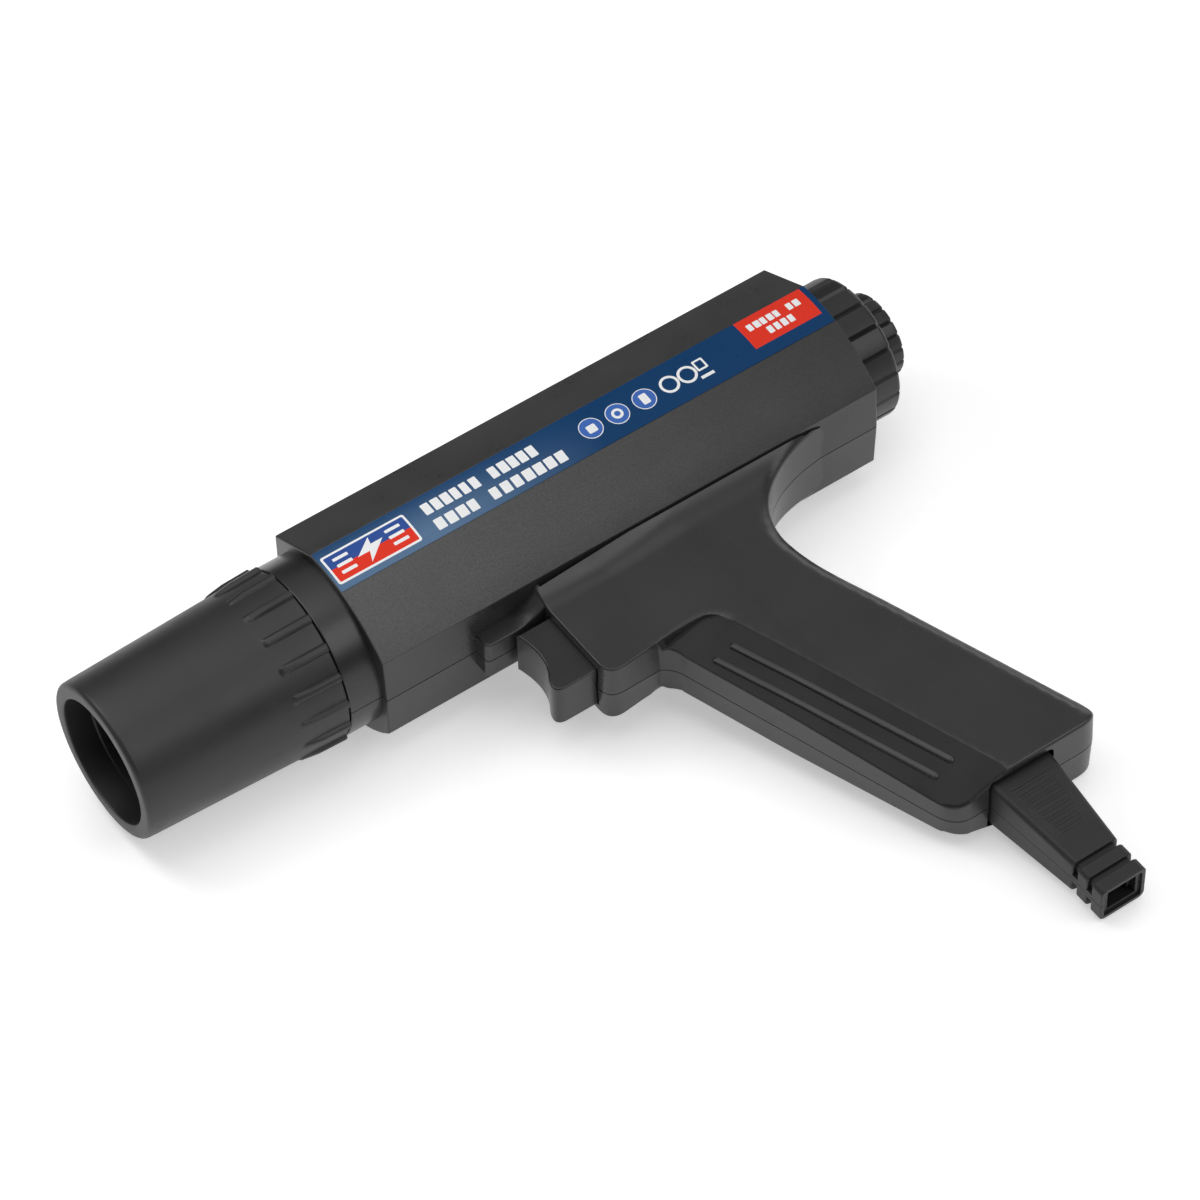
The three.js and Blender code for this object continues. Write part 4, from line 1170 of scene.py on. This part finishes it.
def plug_ridge(y, half):
    """One of the fine finger ridges across the plug."""
    top = plug_half_size(y)[1]
    section = [(-0.42, -0.5), (-0.42, 0.02), (-0.28, 0.2), (0, 0.28), (0.28, 0.2), (0.42, 0.02), (0.42, -0.5)]
    rings = []
    for x in [-half, -half + 0.25, -half + 0.6, half - 0.6, half - 0.25, half]:
        tall = smooth(0, 0.6, half - abs(x))
        rings.append([(PLUG_X + x, y + a, top + (h * tall if h > 0 else h)) for a, h in section])
    return loft("ridge", rings)


def plug_half():
    slot = 1.75
    first, second = -178.7, -184.5
    body = plug_length(PLUG_FRONT, first)
    ring_1 = plug_length(first - slot, second)
    ring_2 = plug_length(second - slot, PLUG_END, 0.35)
    web = box(PLUG_X - PLUG_NECK[0], PLUG_X + PLUG_NECK[0], PLUG_END + 2, first + 2, GAP / 4, 1.3)
    ridges = [plug_ridge(-152.6 - 2.35 * k, 6.6 - 0.36 * k) for k in range(8)]
    boolean(body, [ring_1, ring_2, web] + ridges, "UNION")
    hx, hz = PLUG_NECK[0] - 1.25, PLUG_NECK[1] - 1.25
    channel = loft("channel", drawn(arch(hx, -1, hz, 0.8), (-192, -157)))
    seat = box(PLUG_X - CARRIER_SEAT[0], PLUG_X + CARRIER_SEAT[0], -158, -139, -1, CARRIER_SEAT[1])
    boolean(body, [channel, seat])
    liner = loft("liner", drawn(arch(hx + 0.05, GAP / 4, hz + 0.05, 0.8), (PLUG_END + 0.8, first + 1.5)))
    boolean(liner, [box(PLUG_X - 4.6, PLUG_X + 4.6, -192, -170, -1, 3.3)])
    return boolean(body, [liner], "UNION")


def plug_teeth(side):
    """The clamp ribs that grip the cord inside the open end."""
    low, high = sorted((side * GAP / 4, side * 2.6))
    return [box(PLUG_X + x, PLUG_X + x + 1.6, y - 0.5, y + 0.5, low, high)
            for y in (-181.5, -187.0) for x in (-5.0, 3.4)]


def plug():
    upper = plug_half()
    lower = mirrored(upper)
    boolean(upper, plug_teeth(1), "UNION")
    boolean(lower, plug_teeth(-1), "UNION")
    placed(upper, "plug_shell_upper", "plug", [PLUG], ["plug_upper_half"], sharp=35)
    placed(lower, "plug_shell_lower", "plug", [PLUG], ["plug_lower_half"], sharp=35)


# ---- camera, lights and floor ----
AZIMUTH, ELEVATION, ROLL = map(math.radians, (-34.23, 50.64, -1.66))
TARGET, DISTANCE, LENS = Vector((65.10, -32.45, 0)), 1403.1, 157.75


def camera():
    flat = math.cos(ELEVATION)
    back = Vector((math.sin(AZIMUTH) * flat, -math.cos(AZIMUTH) * flat, math.sin(ELEVATION)))
    level = Vector((math.cos(AZIMUTH), math.sin(AZIMUTH), 0))
    up = back.cross(level)
    right = math.cos(ROLL) * level + math.sin(ROLL) * up
    up = math.cos(ROLL) * up - math.sin(ROLL) * level
    data = bpy.data.cameras.new("camera")
    data.lens, data.sensor_width = LENS, 36.0
    data.clip_start, data.clip_end = 0.05, 30.0
    o = linked("camera", data)
    turn = GUN.to_3x3() @ Matrix((right, up, back)).transposed()
    turn = Matrix([row.normalized() for row in turn.transposed()]).transposed()
    o.matrix_world = Matrix.Translation(GUN @ (TARGET + back * DISTANCE)) @ turn.to_4x4()
    bpy.context.scene.camera = o


def area_light(name, place, aim, size, power):
    data = bpy.data.lights.new(name, "AREA")
    data.shape, data.size, data.size_y = "RECTANGLE", *size
    data.energy = power
    o = linked(name, data)
    o.location = place
    o.rotation_euler = (Vector(aim) - Vector(place)).to_track_quat("-Z", "Y").to_euler()


# The surround by direction: azimuth and half width in degrees, lowest and highest sine of elevation, strength.
SURROUND = [(0, 180, 0.88, 1.2, 1.1), (-64, 28, 0.42, 0.82, 2.3), (56, 34, 0.58, 0.86, 0.45),
            (180, 45, 0.35, 0.8, 0.38), (0, 45, 0.35, 0.8, 0.23), (0, 45, -0.5, 0.35, 0.4), (32, 14, 0.24, 0.6, 2.2)]


def surround():
    """A dim room with a soft box overhead, one towards -Y and a small one behind the handle."""
    world = bpy.data.worlds.new("studio")
    world.use_nodes = True
    tree = world.node_tree

    def calc(operation, *values):
        return maths(tree, operation, *values)

    def above(value, level, soft):
        t = calc("ADD", calc("MULTIPLY", calc("SUBTRACT", value, level), 0.5 / soft), 0.5)
        return calc("MINIMUM", calc("MAXIMUM", t, 0.0), 1.0)

    where, axes = tree.nodes.new("ShaderNodeTexCoord"), tree.nodes.new("ShaderNodeSeparateXYZ")
    tree.links.new(where.outputs["Generated"], axes.inputs[0])
    x, y, z = axes.outputs
    heading = calc("ARCTAN2", y, x)
    total = 0.0
    for azimuth, half, low, high, strength in SURROUND:
        band = calc("MULTIPLY", above(z, low, 0.04), calc("SUBTRACT", 1.0, above(z, high, 0.04)))
        if half < 180:
            off = calc("COSINE", calc("SUBTRACT", heading, math.radians(azimuth)))
            band = calc("MULTIPLY", band, above(off, math.cos(math.radians(half)), 0.08))
        total = calc("ADD", total, calc("MULTIPLY", band, strength))
    tree.nodes["Background"].inputs["Color"].default_value = (1, 1, 1, 1)
    tree.links.new(total, tree.nodes["Background"].inputs["Strength"])
    bpy.context.scene.world = world


def floor():
    side = 6.0
    mesh = bpy.data.meshes.new("floor")
    mesh.from_pydata([(-side, -side, 0), (side, -side, 0), (side, side, 0), (-side, side, 0)], [], [(0, 1, 2, 3)])
    f = Finish("floor paper")
    f.colour(f.mix(f.noise(3, 2), (0.89, 0.89, 0.89), (0.91, 0.91, 0.91)))
    f.set(Roughness=0.9, Specular_IOR_Level=0.1, Emission_Color=(1, 1, 1, 1), Emission_Strength=0.42)
    mesh.materials.append(f.material)
    linked("floor", mesh)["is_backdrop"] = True


def studio():
    surround()
    area_light("overhead", (-0.1, 0.0, 0.9), (-0.03, 0.05, 0), (0.5, 0.5), 0.65)
    area_light("front", (-0.2, 0.25, 0.35), (-0.03, 0.06, 0.05), (0.2, 0.2), 0.4)
    floor()
    bpy.context.scene.view_settings.view_transform = "Standard"


camera()
studio()
finish_cad_nodes()
case_shells()
case_screws()
label()
hood()
lens_parts()
knob()
trigger()
plug()


def corners(bounds):
    return [[round(v, 6) for v in corner] for corner in bounds]


{"cad": corners(CAD_BOX), "visual": corners(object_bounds())}
